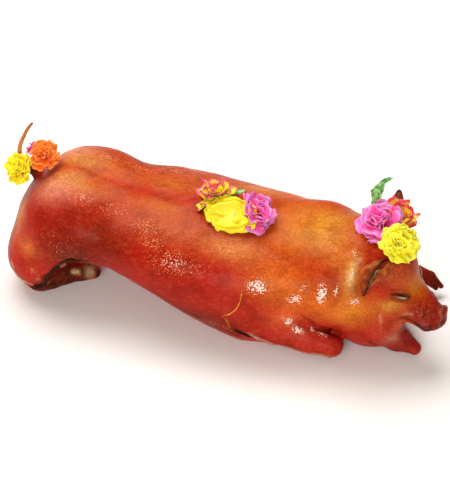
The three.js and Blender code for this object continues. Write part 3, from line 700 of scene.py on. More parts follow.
def make_piece(name, points, faces, material, replaces=()):
    """A piece of the object from points in millimetres and a list or array of faces."""
    mesh = bpy.data.meshes.new(name)
    faces = faces if isinstance(faces, list) else faces.tolist()
    mesh.from_pydata((np.asarray(points) * MM).tolist(), [], faces)
    mesh.validate()
    mesh.polygons.foreach_set("use_smooth", np.ones(len(mesh.polygons), bool))
    mesh.materials.append(material)
    piece = bpy.data.objects.new(name, mesh)
    bpy.context.scene.collection.objects.link(piece)
    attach(piece, "root")
    if replaces:
        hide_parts(*replaces)
    return piece


COLOUR_LAYERS = ("glaze", "tint")


def store(piece, **layers):
    """Keeps a number, or a colour for the colour layers, at each vertex of a piece under the name that its
    material reads. One that is given alone goes to every vertex."""
    count = len(piece.data.vertices)
    for name, values in layers.items():
        if name in COLOUR_LAYERS:
            whole = np.ones((count, 4), np.float32)
            whole[:, :3] = values
            piece.data.attributes.new(name, "FLOAT_COLOR", "POINT").data.foreach_set("color", whole.ravel())
        else:
            numbers = np.full(count, values, np.float32)
            piece.data.attributes.new(name, "FLOAT", "POINT").data.foreach_set("value", numbers)


def sheet_faces(rows, columns, sheets=1):
    """Quads of grids of rows by columns points, one grid after another."""
    corner = np.arange((rows - 1) * (columns - 1))
    corner = corner // (columns - 1) * columns + corner % (columns - 1)
    quads = corner[:, None] + [0, 1, columns + 1, columns]
    return (quads + np.arange(sheets)[:, None, None] * rows * columns).reshape(-1, 4)


def thicken(piece, thickness):
    """Gives a sheet its thickness, half to each side."""
    wall = piece.modifiers.new("wall", "SOLIDIFY")
    wall.thickness = thickness
    wall.offset = 0
    wall.use_even_offset = False


# ---------------------------------------------------------------- materials

# Settings of two kinds of node that come back: a smooth climb from one number to another, and a mix of two
# colours, plain or multiplied. A colour mix has its share on socket 0 and its colours on sockets 6 and 7.
CLIMB = {"interpolation_type": "SMOOTHSTEP"}
PLAIN_MIX = {"data_type": "RGBA", "out": 2}
DARK_MIX = {**PLAIN_MIX, "blend_type": "MULTIPLY"}


def add_node(tree, kind, inputs=(), out=0, **settings):
    """Adds a node to a material and returns one of its outputs, by number or name, if it has any. Inputs
    give a socket its number, its linear colour or the output that feeds it; settings are the node's own."""
    node = tree.nodes.new("ShaderNode" + kind)
    for name, value in settings.items():
        setattr(node, name, value)
    for name, value in dict(inputs).items():
        socket = node.inputs[name]
        if isinstance(value, bpy.types.NodeSocket):
            tree.links.new(value, socket)
        else:
            socket.default_value = (*value, 1) if socket.type == "RGBA" else value
    return node.outputs[out] if node.outputs else None


def new_material(name):
    """A material with an empty node tree."""
    material = bpy.data.materials.new(name)
    material.use_nodes = True
    material.node_tree.nodes.clear()
    return material, material.node_tree


def pattern_scale(size_mm):
    """The scale that gives a pattern on Object coordinates cells of a real size."""
    return 1 / (size_mm * MM)


def glazed_skin(settings):
    """Roast pork skin, basted with maltose and roasted until it crackles: lacquered and glossy, mottled over
    26 mm and streaked with gold over 5 mm. Its pores are 3.2 mm apart, drawn coarser than real ones so that
    they show. Where the skin has blisters there are bubbles of 2.3 mm whose crowns carry painted highlight
    glints, and pale grains 7 mm apart. Burnt skin is dry and rough. The sheen is tinted, as light passes the
    glaze twice."""
    material, tree = new_material("lacquered_crackling")
    place = add_node(tree, "TexCoord", out="Object")
    colour = add_node(tree, "Attribute", out="Color", attribute_name="glaze")
    burnt = add_node(tree, "Attribute", out="Fac", attribute_name="char")
    blistered_and_glinting = add_node(tree, "Attribute", out="Fac", attribute_name="blister")
    along_body = add_node(tree, "Mapping", {"Vector": place, "Scale": (0.55, 1, 1)})
    mottle = add_node(tree, "TexNoise", {
        "Vector": place, "Scale": pattern_scale(26), "Detail": 3, "Roughness": 0.5})
    streaks = add_node(tree, "TexNoise", {
        "Vector": along_body, "Scale": pattern_scale(5), "Detail": 3, "Roughness": 0.6})
    pores = add_node(tree, "TexNoise", {
        "Vector": place, "Scale": pattern_scale(3.2), "Detail": 3, "Roughness": 0.6})
    bubbles = add_node(tree, "TexVoronoi", {"Vector": place, "Scale": pattern_scale(2.3)}, feature="F1")
    grains = add_node(tree, "TexVoronoi", {"Vector": place, "Scale": pattern_scale(7)}, feature="F1")

    for pattern, low, high, most, code, mix in (
            (mottle, 0.46, 0.66, 0.3, "#A04018", DARK_MIX),  # brown patches
            (pores, 0.62, 0.38, 0.45, "#B87050", DARK_MIX),  # dark pits
            (streaks, 0.5, 0.7, 0.07, "#EE9A40", PLAIN_MIX)):  # golden streaks
        share = add_node(tree, "MapRange", {
            "Value": pattern, "From Min": low, "From Max": high, "To Max": most}, **CLIMB)
        colour = add_node(tree, "Mix", {0: share, 6: colour, 7: linear(code)}, **mix)
    specks = add_node(tree, "MapRange", {"Value": grains, "From Min": 0.15, "From Max": 0.08, "To Max": 0.4},
                      **CLIMB)
    puffed = add_node(tree, "MapRange", {"Value": blistered_and_glinting, "From Min": 0.08, "From Max": 0.3}, **CLIMB)
    flecks = add_node(tree, "Math", {0: specks, 1: puffed}, operation="MULTIPLY")
    flecked = add_node(tree, "Mix", {0: flecks, 6: colour, 7: linear("#FFC890")}, **PLAIN_MIX)

    # Painted highlight glints: pale crowns on the bubbles where the skin has blisters.
    rise = add_node(tree, "Math", {0: pores, 1: 0.2}, operation="ADD")
    swollen = add_node(tree, "Math", {0: blistered_and_glinting, 1: rise}, operation="MULTIPLY", use_clamp=True)
    proud = add_node(tree, "Math", {0: swollen, 1: bubbles}, operation="SUBTRACT")
    painted_glints = add_node(tree, "MapRange", {"Value": proud, "From Min": -0.06, "From Max": 0.06, "To Max": 0.8},
                    **CLIMB)
    whiter = add_node(tree, "MapRange", {"Value": blistered_and_glinting, "From Min": 0.35, "From Max": 0.65}, **CLIMB)
    glint_colour = add_node(tree, "Mix", {0: whiter, 6: linear("#E8A868"), 7: linear("#FFF2E4")}, **PLAIN_MIX)
    flecked_and_glinting = add_node(tree, "Mix", {0: painted_glints, 6: flecked, 7: glint_colour}, **PLAIN_MIX)

    dry = add_node(tree, "Math", {0: burnt, 1: 0.4, 2: settings.roughness}, operation="MULTIPLY_ADD")
    grain = add_node(tree, "MapRange", {"Value": pores, "From Min": 0.35, "From Max": 0.65, "To Max": 0.12},
                     **CLIMB)
    uneven = add_node(tree, "Math", {0: grain, 1: dry}, operation="ADD")
    dome = add_node(tree, "MapRange", {"Value": bubbles, "From Min": 0.5, "From Max": 0.0}, **CLIMB)
    lifted = add_node(tree, "Math", {0: blistered_and_glinting, 1: 0.12}, operation="ADD")
    swell = add_node(tree, "Math", {0: dome, 1: lifted}, operation="MULTIPLY", use_clamp=True)
    height = add_node(tree, "Math", {0: pores, 1: 0.35, 2: swell}, operation="MULTIPLY_ADD")
    bump = add_node(tree, "Bump", {"Height": height, "Strength": 0.7, "Distance": settings.crackle_depth})
    shader = add_node(tree, "BsdfPrincipled", {
        "Base Color": flecked_and_glinting, "Roughness": uneven, "Normal": bump, "IOR": 1.22,
        "Specular Tint": (1, 0.6, 0.3), "Coat Weight": 0.05, "Coat Roughness": 0.12})
    add_node(tree, "OutputMaterial", {"Surface": shader})
    return material


def petal_tissue(name, heart, body, rim, rim_start):
    """Fresh carnation petals: matt and slightly velvety, thin enough to glow, coloured by how near the rim a
    point is, and faintly crumpled over 9 mm."""
    material, tree = new_material(name)
    along = add_node(tree, "Attribute", out="Fac", attribute_name="along")
    tone = add_node(tree, "Attribute", out="Fac", attribute_name="tone")
    place = add_node(tree, "TexCoord", out="Object")
    blotch = add_node(tree, "TexNoise", {"Vector": place, "Scale": pattern_scale(9), "Detail": 2})
    wander = add_node(tree, "Math", {0: blotch, 1: 0.22, 2: along}, operation="MULTIPLY_ADD")
    past_heart = add_node(tree, "MapRange", {"Value": along, "From Min": 0.1, "From Max": 0.6}, **CLIMB)
    inner = add_node(tree, "Mix", {0: past_heart, 6: heart, 7: body}, **PLAIN_MIX)
    at_rim = add_node(tree, "MapRange", {
        "Value": wander, "From Min": rim_start, "From Max": rim_start + 0.16}, **CLIMB)
    edged = add_node(tree, "Mix", {0: at_rim, 6: inner, 7: rim}, **PLAIN_MIX)
    deeper = add_node(tree, "Math", {0: tone, 1: 0.1}, operation="MULTIPLY")
    toned = add_node(tree, "Mix", {0: deeper, 6: edged, 7: body}, **DARK_MIX)
    bump = add_node(tree, "Bump", {"Height": blotch, "Strength": 0.3, "Distance": 0.6 * MM})
    shader = add_node(tree, "BsdfPrincipled", {
        "Base Color": toned, "Roughness": 0.62, "Normal": bump, "Subsurface Weight": 0.4,
        "Subsurface Radius": (0.006, 0.005, 0.005), "Sheen Weight": 0.1})
    add_node(tree, "OutputMaterial", {"Surface": shader})
    return material


def leaf_tissue(colour):
    """A soft green leaf: waxy, blotched over 7 mm, with a pale midrib along it."""
    material, tree = new_material("carnation_leaf")
    along = add_node(tree, "Attribute", out="Fac", attribute_name="along")
    place = add_node(tree, "TexCoord", out="Object")
    blotch = add_node(tree, "TexNoise", {"Vector": place, "Scale": pattern_scale(7), "Detail": 3})
    dark = add_node(tree, "MapRange", {"Value": blotch, "From Min": 0.4, "From Max": 0.65}, **CLIMB)
    green = add_node(tree, "Mix", {0: dark, 6: colour, 7: linear("#3F8A3C")}, **PLAIN_MIX)
    midrib = add_node(tree, "MapRange", {"Value": along, "From Min": 0.8, "From Max": 1.0}, **CLIMB)
    veined = add_node(tree, "Mix", {0: midrib, 6: green, 7: linear("#B9DDB0")}, **PLAIN_MIX)
    bump = add_node(tree, "Bump", {"Height": blotch, "Strength": 0.5, "Distance": 0.8 * MM})
    shader = add_node(tree, "BsdfPrincipled", {"Base Color": veined, "Roughness": 0.42, "Normal": bump})
    add_node(tree, "OutputMaterial", {"Surface": shader})
    return material


def ear_lining():
    """The inside of a roast ear: dry, pale and blotched with brown over 6 mm."""
    material, tree = new_material("ear_lining")
    place = add_node(tree, "TexCoord", out="Object")
    blotch = add_node(tree, "TexNoise", {"Vector": place, "Scale": pattern_scale(6), "Detail": 3})
    brown = add_node(tree, "MapRange", {"Value": blotch, "From Min": 0.42, "From Max": 0.62}, **CLIMB)
    tinted = add_node(tree, "Mix", {0: brown, 6: linear("#E8C48C"), 7: linear("#A85A2A")}, **PLAIN_MIX)
    bump = add_node(tree, "Bump", {"Height": blotch, "Strength": 0.5, "Distance": 0.6 * MM})
    shader = add_node(tree, "BsdfPrincipled", {"Base Color": tinted, "Roughness": 0.5, "Normal": bump})
    add_node(tree, "OutputMaterial", {"Surface": shader})
    return material


def moist_eye():
    """A half-shut eye, wet and smooth, coloured point by point."""
    material, tree = new_material("milky_eye")
    tint = add_node(tree, "Attribute", out="Color", attribute_name="tint")
    shader = add_node(tree, "BsdfPrincipled", {"Base Color": tint, "Roughness": 0.3, "IOR": 1.3})
    add_node(tree, "OutputMaterial", {"Surface": shader})
    return material


def pale_floor(colour):
    """Seamless studio paper: matt, with a faint mottle 80 mm across."""
    material, tree = new_material("studio_paper")
    place = add_node(tree, "TexCoord", out="Object")
    cloud = add_node(tree, "TexNoise", {"Vector": place, "Scale": pattern_scale(80)})
    faint = add_node(tree, "Math", {0: cloud, 1: 0.04}, operation="MULTIPLY")
    tinted = add_node(tree, "Mix", {0: faint, 6: colour, 7: linear("#D9D5CF")}, **PLAIN_MIX)
    shader = add_node(tree, "BsdfPrincipled", {"Base Color": tinted, "Roughness": 0.85})
    add_node(tree, "OutputMaterial", {"Surface": shader})
    return material


# ---------------------------------------------------------------- pieces

# Points along and round each kind of piece: rings of a closed form and points on a ring, or rows from root
# to tip of a leaf-like sheet and points across it.
EAR_GRID = (32, 41)
PETAL_GRID = (11, 19)
LEAF_GRID = (26, 13)
EAR_THICKNESS, LEAF_THICKNESS = 2.2, 0.8
EYE_GRID = (12, 20)
TAIL_GRID = (60, 14)
STRIP_SIDES, RINGS_PER_POINT = 8, 12

# Ears: points of the spine from root to tip, direction across, half width, how flat the roll is, how far
# its sides curl round and how far its slit is turned from facing outwards, both in degrees, and how
# pointed it is.
EARS = {
    "right_ear": [[(225, -36, 143), (209, -48, 141), (203, -65, 113)], (1, -0.1, 0.25),
                  16, 0.62, 165, -32, 1.2],
    "left_ear": [[(212, 25, 138), (217, 55, 172), (211, 86, 169)], (1, -0.05, -0.1),
                 9, 0.75, 165, 0, 0.6],
}
EAR_COLOURS = {"right_ear": ("#A0381A", "#D4722E"), "left_ear": ("#6A2412", "#A83C20")}  # tip and root
EAR_BLOTCHES = (0.4, 10, 8)  # strength, length and seed

# An eyeball: its corners on the right side in the head's frame, its half lengths along, up and out, and its
# patches in shares of them: a red corner, a milky streak that is also a painted glint, and the lid's painted
# shadow.
EYE_CORNERS = [(75.5, 36.5, 109.5), (95, 20.5, 99.5)]
EYE_HALF = [12, 3.4, 5.0]
EYE_COLOUR = "#5E3824"
EYE_PATCHES = [((-0.5, 0.4, 0), (0.35, 0.4, 2), "#A8120F"), ((0.15, 0.56, 0), (0.5, 0.13, 2), "#FFEEC8"),
               ((0, 0.98, 0), (2, 0.16, 2), "#3A1A10")]


def along_spine(spine, across, s):
    """Points on a curve that starts at the spine's first point, is drawn towards the second and ends at the
    third, with the direction across and the one square to both there."""
    a, b, c = np.array(spine, float)
    s = s[:, None]
    place = (1 - s) ** 2 * a + 2 * s * (1 - s) * b + s ** 2 * c
    side = unit(np.array(across, float))
    return place, side, unit(np.cross((1 - s) * (b - a) + s * (c - b), side))


def ear_points(spine, across, half_width, flat, curl, turned_by, pointed):
    """A leaf rolled up along its spine: each section is an arc of an oval that starts on the head side, with
    the slit between its rims on the outer side. The roll swells from the root and narrows to the tip as a
    sine. Returns the points, the share of the way from the middle to the rim or tip, and the way along."""
    rows, columns = EAR_GRID
    s, t = np.linspace(0, 1, rows), np.linspace(-1, 1, columns)
    place, side, outward = along_spine(spine, across, s)
    radius = (half_width * np.sin(math.pi * (0.2 + 0.78 * s)) ** pointed)[:, None]
    radius = radius * (1 + 0.05 * np.sin(11 * s + 5 * t[None].T).T * t ** 2)
    angle = np.radians((curl + 13 * s[:, None] ** 2) * t + turned_by)
    points = (place[:, None] + (radius * np.sin(angle))[..., None] * side
              + (radius * flat * (1 - np.cos(angle)))[..., None] * outward[:, None])
    edge = np.maximum(np.maximum(-t, 0.75 * t)[None] ** 5, (s ** 7)[:, None])
    return points.reshape(-1, 3), edge.ravel(), np.repeat(s, columns)


# Blooms: centre, facing, radius, and the finish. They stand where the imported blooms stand.
BLOOMS = {
    "tail_flower_yellow": ((-291, -15, 155), (-0.35, -0.6, 0.7), 24, "golden"),
    "tail_flower_orange": ((-263, 2, 172), (0.05, -0.3, 1), 23, "orange"),
    "tail_flower_magenta": ((-282, 19, 166), (-0.35, 0.4, 0.85), 15, "magenta"),
    "back_flower_yellow": ((11, -20, 160), (-0.05, -0.55, 0.84), 31, "broad_yellow"),
    "back_flower_bicolour": ((-16, 4, 160), (-0.3, 0.2, 0.93), 31, "bicolour"),
    "back_flower_pink": ((41, -8, 160), (0.35, 0, 0.93), 29, "magenta"),
    "head_flower_yellow": ((230, -13, 163), (0.35, -0.5, 0.8), 28, "yellow"),
    "head_flower_pink": ((202, 17, 164), (-0.2, -0.3, 0.95), 31, "magenta"),
    "head_flower_bicolour": ((218, 37, 162), (0.45, 0, 0.9), 29, "red_bicolour"),
}

# Finishes of petals: slot and material, the colours of the heart, the body and the rim, each as a code or as
# the setting that holds it, and how far along the rim starts.
FINISHES = {
    "yellow": ("petal_yellow", "yellow_petals", ("yellow", "yellow", "#FFF84A"), 0.9),
    "golden": ("petal_yellow", "golden_petals", ("golden", "golden", "yellow"), 0.9),
    "broad_yellow": ("petal_yellow", "broad_yellow_petals", ("#FFF84A", "#F4E00C", "yellow"), 0.9),
    "orange": ("petal_orange", "orange_petals", ("#E83C08", "orange", "#FF9A34"), 0.92),
    "magenta": ("petal_pink", "magenta_petals", ("#FF50B4", "magenta", "lilac"), 0.9),
    "bicolour": ("petal_bicolour", "yellow_petals_edged_magenta", ("yellow", "yellow", "#E02C70"), 0.93),
    "red_bicolour": ("petal_bicolour", "yellow_petals_edged_crimson", ("yellow", "#FFDE3C", "crimson"), 0.88),
}

# Whorls of a carnation from the outside in: petals, length, width, first and last lean from the axis in
# degrees, and how high the whorl springs; sizes are shares of the bloom's radius.
FRILLED_WHORLS = [
    (6, 1.0, 0.66, 45, 112, -0.14),
    (5, 0.98, 0.7, 32, 86, -0.06),
    (5, 0.9, 0.64, 20, 62, 0.0),
    (4, 0.8, 0.56, 8, 40, 0.06),
    (4, 0.64, 0.42, 0, 18, 0.1),
]
FULL_WHORLS = [
    (5, 1.0, 0.84, 56, 104, -0.1),
    (5, 0.96, 0.8, 42, 84, -0.02),
    (4, 0.82, 0.7, 26, 60, 0.04),
    (3, 0.62, 0.5, 8, 34, 0.1),
]
BROAD_WHORLS = [
    (5, 1.08, 0.9, 70, 104, 0.0),
    (5, 0.96, 0.84, 66, 96, 0.08),
    (4, 0.8, 0.72, 62, 88, 0.14),
    (3, 0.5, 0.5, 58, 80, 0.18),
]

# The form of the finishes that aren't frilled carnations: whorls, share of the frill, and stretch along X, Y
# and the axis before the bloom is turned.
FORMS = {
    "magenta": (FULL_WHORLS, 1, (1, 1, 1)),
    "red_bicolour": (FULL_WHORLS, 1, (1, 1, 1)),
    "broad_yellow": (BROAD_WHORLS, 0.45, (1.1, 0.75, 0.8)),
}
FIRST_SEED = 11
# How petals differ: turn as a share of their spacing, size, width, and first lean and its gain in degrees.
TURNS, SIZES, WIDTHS = (-0.25, 0.25), (0.82, 1.08), (0.85, 1.15)
FIRST_LEANS, LEAN_GAINS = (-14, 14), (-20, 20)
CLEARANCE = 0.9  # a petal this near to an earlier bloom, as a share of that bloom's radius, is left out


def petals(whorls, radius, frill, seed):
    """Petals round an axis. Along a petal the lean grows from its first to its last angle, so its middle line
    is the running sum of steps at that lean. Across it the width fans out with the 0.6 power of the way
    along and the petal curves round the axis, the rim has shallow teeth, and the outer part ripples as two
    sines across, growing with the square of the way along. Returns the points, the way along, the petal's
    tone and how many petals there are."""
    random = np.random.default_rng(seed)
    rows, columns = PETAL_GRID
    s, t = np.linspace(0, 1, rows), np.linspace(-1, 1, columns)
    points, along, tones = [], [], []
    for count, length, width, first, last, lift in whorls:
        start = random.uniform(0, 2 * math.pi)
        for n in range(count):
            turn = start + 2 * math.pi * (n + random.uniform(*TURNS)) / count
            size = radius * length * random.uniform(*SIZES)
            spread = radius * width * random.uniform(*WIDTHS)
            lean = np.radians(first + random.uniform(*FIRST_LEANS)
                              + (last - first + random.uniform(*LEAN_GAINS)) * s)
            step = size / (rows - 1)
            out = np.concatenate([[0], np.cumsum(np.sin(lean[1:]) * step)])
            up = np.concatenate([[0], np.cumsum(np.cos(lean[1:]) * step)])
            bites = 0.035 * frill * np.sin(9 * t + random.uniform(0, 6)) * s[:, None] ** 3
            teeth = 1 - 0.16 * t ** 4 + bites
            across = spread * (0.14 + 0.86 * s ** 0.6)[:, None] * t * (1 - 0.22 * (s ** 5)[:, None] * t ** 2)
            ruffle = (np.sin(random.uniform(3.5, 5.5) * t + random.uniform(0, 6))
                      + 0.6 * np.sin(random.uniform(7, 11) * t + random.uniform(0, 6)))
            ripple = 0.11 * frill * radius * (s ** 2)[:, None] * ruffle + 0.2 * radius * s[:, None] * t ** 2
            outward = out[:, None] * teeth - ripple * np.cos(lean)[:, None]
            upward = up[:, None] * teeth + ripple * np.sin(lean)[:, None] + lift * radius
            outward = outward * np.sqrt(np.maximum(1 - (across / (1.6 * radius)) ** 2, 0.1))
            points.append(np.stack([
                outward * math.cos(turn) - across * math.sin(turn),
                outward * math.sin(turn) + across * math.cos(turn), upward
            ], -1).reshape(-1, 3))
            along.append(np.repeat(s, columns))
            tones.append(np.full(rows * columns, random.uniform(0, 1)))
    return np.concatenate(points), np.concatenate(along), np.concatenate(tones), len(points)


def clear_of(points, count, others):
    """Which of the petals have their outer middle clear of other blooms, given as centres and radii."""
    sheets = points.reshape(count, -1, 3)
    tips = sheets[:, sheets.shape[1] * 3 // 4:].mean(1)
    clear = np.ones(count, bool)
    for at, radius in others:
        clear &= np.linalg.norm(tips - np.array(at, float), axis=1) > CLEARANCE * radius
    return clear


def turned(points, facing):
    """Points whose axis was Z, turned so that it faces another way."""
    turn = Vector((0, 0, 1)).rotation_difference(Vector(facing).normalized()).to_matrix()
    return points @ np.array(turn).T


# Leaves: spine from root to tip, direction across, half width, cup and ripple.
LEAVES = {
    "back_leaf": ([(0, 22, 160), (8, 14, 178), (17, 8, 178)], (1, 0.6, 0), 8.5, 2, 1.2),
    "head_leaf": ([(194, 40, 164), (180, 46, 204), (206, 46, 220)], (0.8, -0.3, 0.4), 7.5, 2.5, 2),
}


def leaf_points(spine, across, half_width, cup, ripple):
    """A leaf: its width is a sine along the spine, its sides are cupped as the square of the way across, and
    its rim ripples. Returns the points, and how near the midrib each is."""
    rows, columns = LEAF_GRID
    s, t = np.linspace(0, 1, rows), np.linspace(-1, 1, columns)
    place, side, normal = along_spine(spine, across, s)
    width = half_width * (0.35 * (1 - s) + np.sin(np.pi * (0.06 + 0.9 * s)) ** 0.8)
    width = width[:, None] * (1 + 0.08 * np.sin(13 * np.pi * s)[:, None] * t ** 2)
    lift = -cup * t ** 2 + ripple * np.sin(5 * np.pi * s)[:, None] * t * np.abs(t)
    points = place[:, None] + (width * t)[..., None] * side + lift[..., None] * normal[:, None]
    midrib = np.broadcast_to(np.exp(-(t / 0.12) ** 2), (rows, columns))
    return points.reshape(-1, 3), midrib.ravel()


# The grid for the carcass along X, Y and Z: its start, and stretches given by their end, the step that they
# take and a share of it.
CARCASS_GRID = [
    (-318, [(176, "body", 1), (318, "head", 1)]),
    (-120, [(120, "body", 0.97)]),
    (-8, [(186, "body", 0.93), (244, "body", 1.4)]),
]
MOST_TRIANGLES = 200_000  # in one piece


class PIG_OT_carcass(bpy.types.Operator):
    """Adds the roast carcass with its skin"""

    bl_idname = "roast_pig.carcass"
    bl_label = "Add Carcass"

    def execute(self, context):
        settings = context.scene.carcass_settings
        steps = {"body": settings.body_step / MM, "head": settings.head_step / MM}
        lines = [grid_line(start, [(end, steps[step] * share) for end, step, share in stretches])
                 for start, stretches in CARCASS_GRID]
        points, faces = zero_surface(field_on(lines), lines)
        points, outwards = settle(points)
        points = points + relief(points)[:, None] * outwards
        points[:, 2] = np.maximum(points[:, 2], 0)
        carcass = make_piece("roast_carcass", points, faces, glazed_skin(settings), ["roast_pig"])
        if len(carcass.data.polygons) * 2 >= MOST_TRIANGLES:
            raise RuntimeError("the carcass has too many faces: raise the mesh steps")
        glaze, burnt, blistered_and_glinting = painted(points, settings.skin, settings.char, settings.fat)
        store(carcass, glaze=glaze, char=burnt, blister=blistered_and_glinting)
        return {"FINISHED"}


def eye_points(side):
    """An eyeball on one side of the head, as the points of an ellipsoid from its outer corner to its inner
    one, and the same points on a ball of radius 1."""
    rings, sides = EYE_GRID
    turn, lift = np.linspace(0, 2 * np.pi, sides + 1)[:-1], np.linspace(-1.45, 1.45, rings)[:, None]
    ball = np.stack([np.sin(lift) * np.ones(sides), np.cos(lift) * np.cos(turn),
                     np.cos(lift) * np.sin(turn)], -1).reshape(-1, 3)
    outer, inner = from_head([(u, side * v, z) for u, v, z in EYE_CORNERS])
    along = unit(inner - outer)
    up = unit(np.array([0, 0, 1]) - along[2] * along)
    return (outer + inner) / 2 + ball * EYE_HALF @ np.stack([along, up, np.cross(along, up)]), ball


class PIG_OT_ears(bpy.types.Operator):
    """Adds both ears, with their burnt rims, and the half-shut eyes"""

    bl_idname = "roast_pig.ears"
    bl_label = "Add Ears and Eyes"

    def execute(self, context):
        settings = context.scene.carcass_settings
        skin = bpy.data.materials["lacquered_crackling"]
        lining = ear_lining()
        blotched, length, seed = EAR_BLOTCHES
        for name, shape in EARS.items():
            points, edge, along = ear_points(*shape)
            ear = make_piece(name, points, sheet_faces(*EAR_GRID), skin)
            ear.data.materials.append(lining)
            thicken(ear, EAR_THICKNESS * MM)
            ear.modifiers["wall"].material_offset = 1
            tip, root = (linear(code) for code in EAR_COLOURS[name])
            near_tip = np.clip(0.2 + 0.8 * along + blotched * waves(points, length, seed), 0, 1)
            colour = towards(np.tile(root, (len(points), 1)), tip, near_tip)
            store(ear, glaze=towards(colour, settings.char, edge), char=edge, blister=0)
        eye = moist_eye()
        for side, name in ((-1, "right_eye"), (1, "left_eye")):
            points, ball = eye_points(side)
            tint = np.tile(linear(EYE_COLOUR), (len(points), 1))
            for place, half, code in EYE_PATCHES:
                tint = towards(tint, linear(code), patch_nearness(ball, place, half))
            store(make_piece(name, points, closed_rings(*EYE_GRID), eye), tint=tint)
        return {"FINISHED"}


def closed_rings(rings, sides):
    """Quads between rings of points that close round, and one face over each end, facing outwards."""
    corner = np.arange(sides)
    after = (corner + 1) % sides
    faces = []
    for ring in range(rings - 1):
        low = ring * sides
        faces += np.stack([corner + low, after + low, after + low + sides, corner + low + sides], 1).tolist()
    faces.append(corner[::-1].tolist())
    faces.append((corner + (rings - 1) * sides).tolist())
    return faces


TAIL_COLOURS = [(0, "#4A1C0E"), (0.16, "#D89A50"), (1, "#A86A34")]  # way along, and the colour there

# Thin strips that lie on the skin: colour, how burnt they are, radius, and points near the skin.
STRIPS = {
    "right_ham_rind": ("#2E140A", 1, 2.7, [(-251, -97, 16), (-238, -97, 26), (-226, -96, 40), (-214, -94, 60),
                                           (-200, -91, 74), (-184, -87, 79), (-168, -84, 78)]),
    "ham_rind_fork": ("#2E140A", 1, 1.7, [(-252, -97, 17), (-244, -100, 28), (-239, -98, 23),
                                          (-233, -97, 33)]),
    "ham_rind_top": ("#3A180C", 0.8, 1.5, [(-212, -98, 72), (-205, -100, 80), (-199, -99, 84),
                                           (-190, -98, 90), (-182, -96, 88), (-172, -94, 88)]),
    "belly_rind": ("#2C120A", 1, 1.8, BELLY_EDGE),
    "flank_split": ("#E6A034", 0, 0.75, [(51, -99, 109), (51, -104, 97), (47, -108, 83), (38, -108, 70),
                                         (27, -108, 62)]),
    "flank_split_branch": ("#E6A034", 0, 0.7, [(31, -108, 59), (35, -107, 51), (37, -106, 40)]),
    "foreleg_fat": ("#B8A090", 0.2, 1.7, FORELEG_EDGE),
    "right_upper_lid": ("#6A3018", 0.3, 1.0, [(234, -51, 113), (241, -47, 114), (249, -42, 109),
                                              (257, -38, 101)]),
    "right_lower_lid": ("#7A3A20", 0.2, 0.9, [(235, -52, 104), (243, -48, 99.5), (251, -43, 96),
                                              (258, -40, 94)]),
    "rump_fat": ("#CDB294", 0.1, 1.4, [(-277, -92, 36), (-262, -100, 30), (-250, -100, 28)]),
}
# How the strips wander, and how their thickness does: share of the radius, length in radii, and seed.
WANDER, RAGGED = (0.35, 5, 31), (0.5, 6, 21)


def tube_points(path, radii, sides):
    """Rings of points round a path: the path plus the radius times the cosine and the sine of the turn, along
    two directions square to the way."""
    way = unit(np.gradient(path, axis=0))
    across = unit(np.cross(way, (0.02, 1, 0.3)))
    turn = np.linspace(0, 2 * math.pi, sides + 1)[:-1, None]
    rings = np.cos(turn) * across[:, None] + np.sin(turn) * np.cross(way, across)[:, None]
    return (path[:, None] + radii[:, None, None] * rings).reshape(-1, 3)


def smooth_path(points, count):
    """Points evenly spread by number along a smooth curve through the given ones."""
    rows = np.column_stack([np.arange(len(points)), np.asarray(points, float)])
    return smooth_table(rows, np.linspace(0, len(points) - 1, count))


class PIG_OT_trimmings(bpy.types.Operator):
    """Adds the tail, the burnt rinds, the strips of fat and the splits in the skin"""

    bl_idname = "roast_pig.trimmings"
    bl_label = "Add Tail and Rinds"

    def execute(self, context):
        skin = bpy.data.materials["lacquered_crackling"]
        rings, sides = TAIL_GRID
        path = smooth_path(TAIL, rings)
        tail = make_piece("tail", tube_points(path[:, :3], path[:, 3], sides), closed_rings(*TAIL_GRID), skin)
        share = np.repeat(np.linspace(0, 1, rings), sides)
        colour = smooth_table([[at, *linear(code)] for at, code in TAIL_COLOURS], share)
        store(tail, glaze=np.clip(colour, 0, 1), char=np.clip(0.5 - 3 * share, 0, 1), blister=0)
        for name, (code, burnt, radius, points) in STRIPS.items():
            count = RINGS_PER_POINT * len(points)
            path = smooth_path(points, count)
            reach, length, seed = WANDER
            wander = np.stack([waves(path, length * radius, seed + axis) for axis in range(3)], 1)
            path = settle(path + reach * radius * wander)[0]
            taper = np.sqrt(np.sin(math.pi * np.linspace(0.03, 0.97, count)))
            reach, length, seed = RAGGED
            radii = radius * taper * (1 + reach * np.clip(waves(path, length * radius, seed), -1.2, 1.2))
            strip = make_piece(name, tube_points(path, radii, STRIP_SIDES), closed_rings(count, STRIP_SIDES),
                               skin)
            store(strip, glaze=linear(code), char=burnt, blister=0)
        return {"FINISHED"}


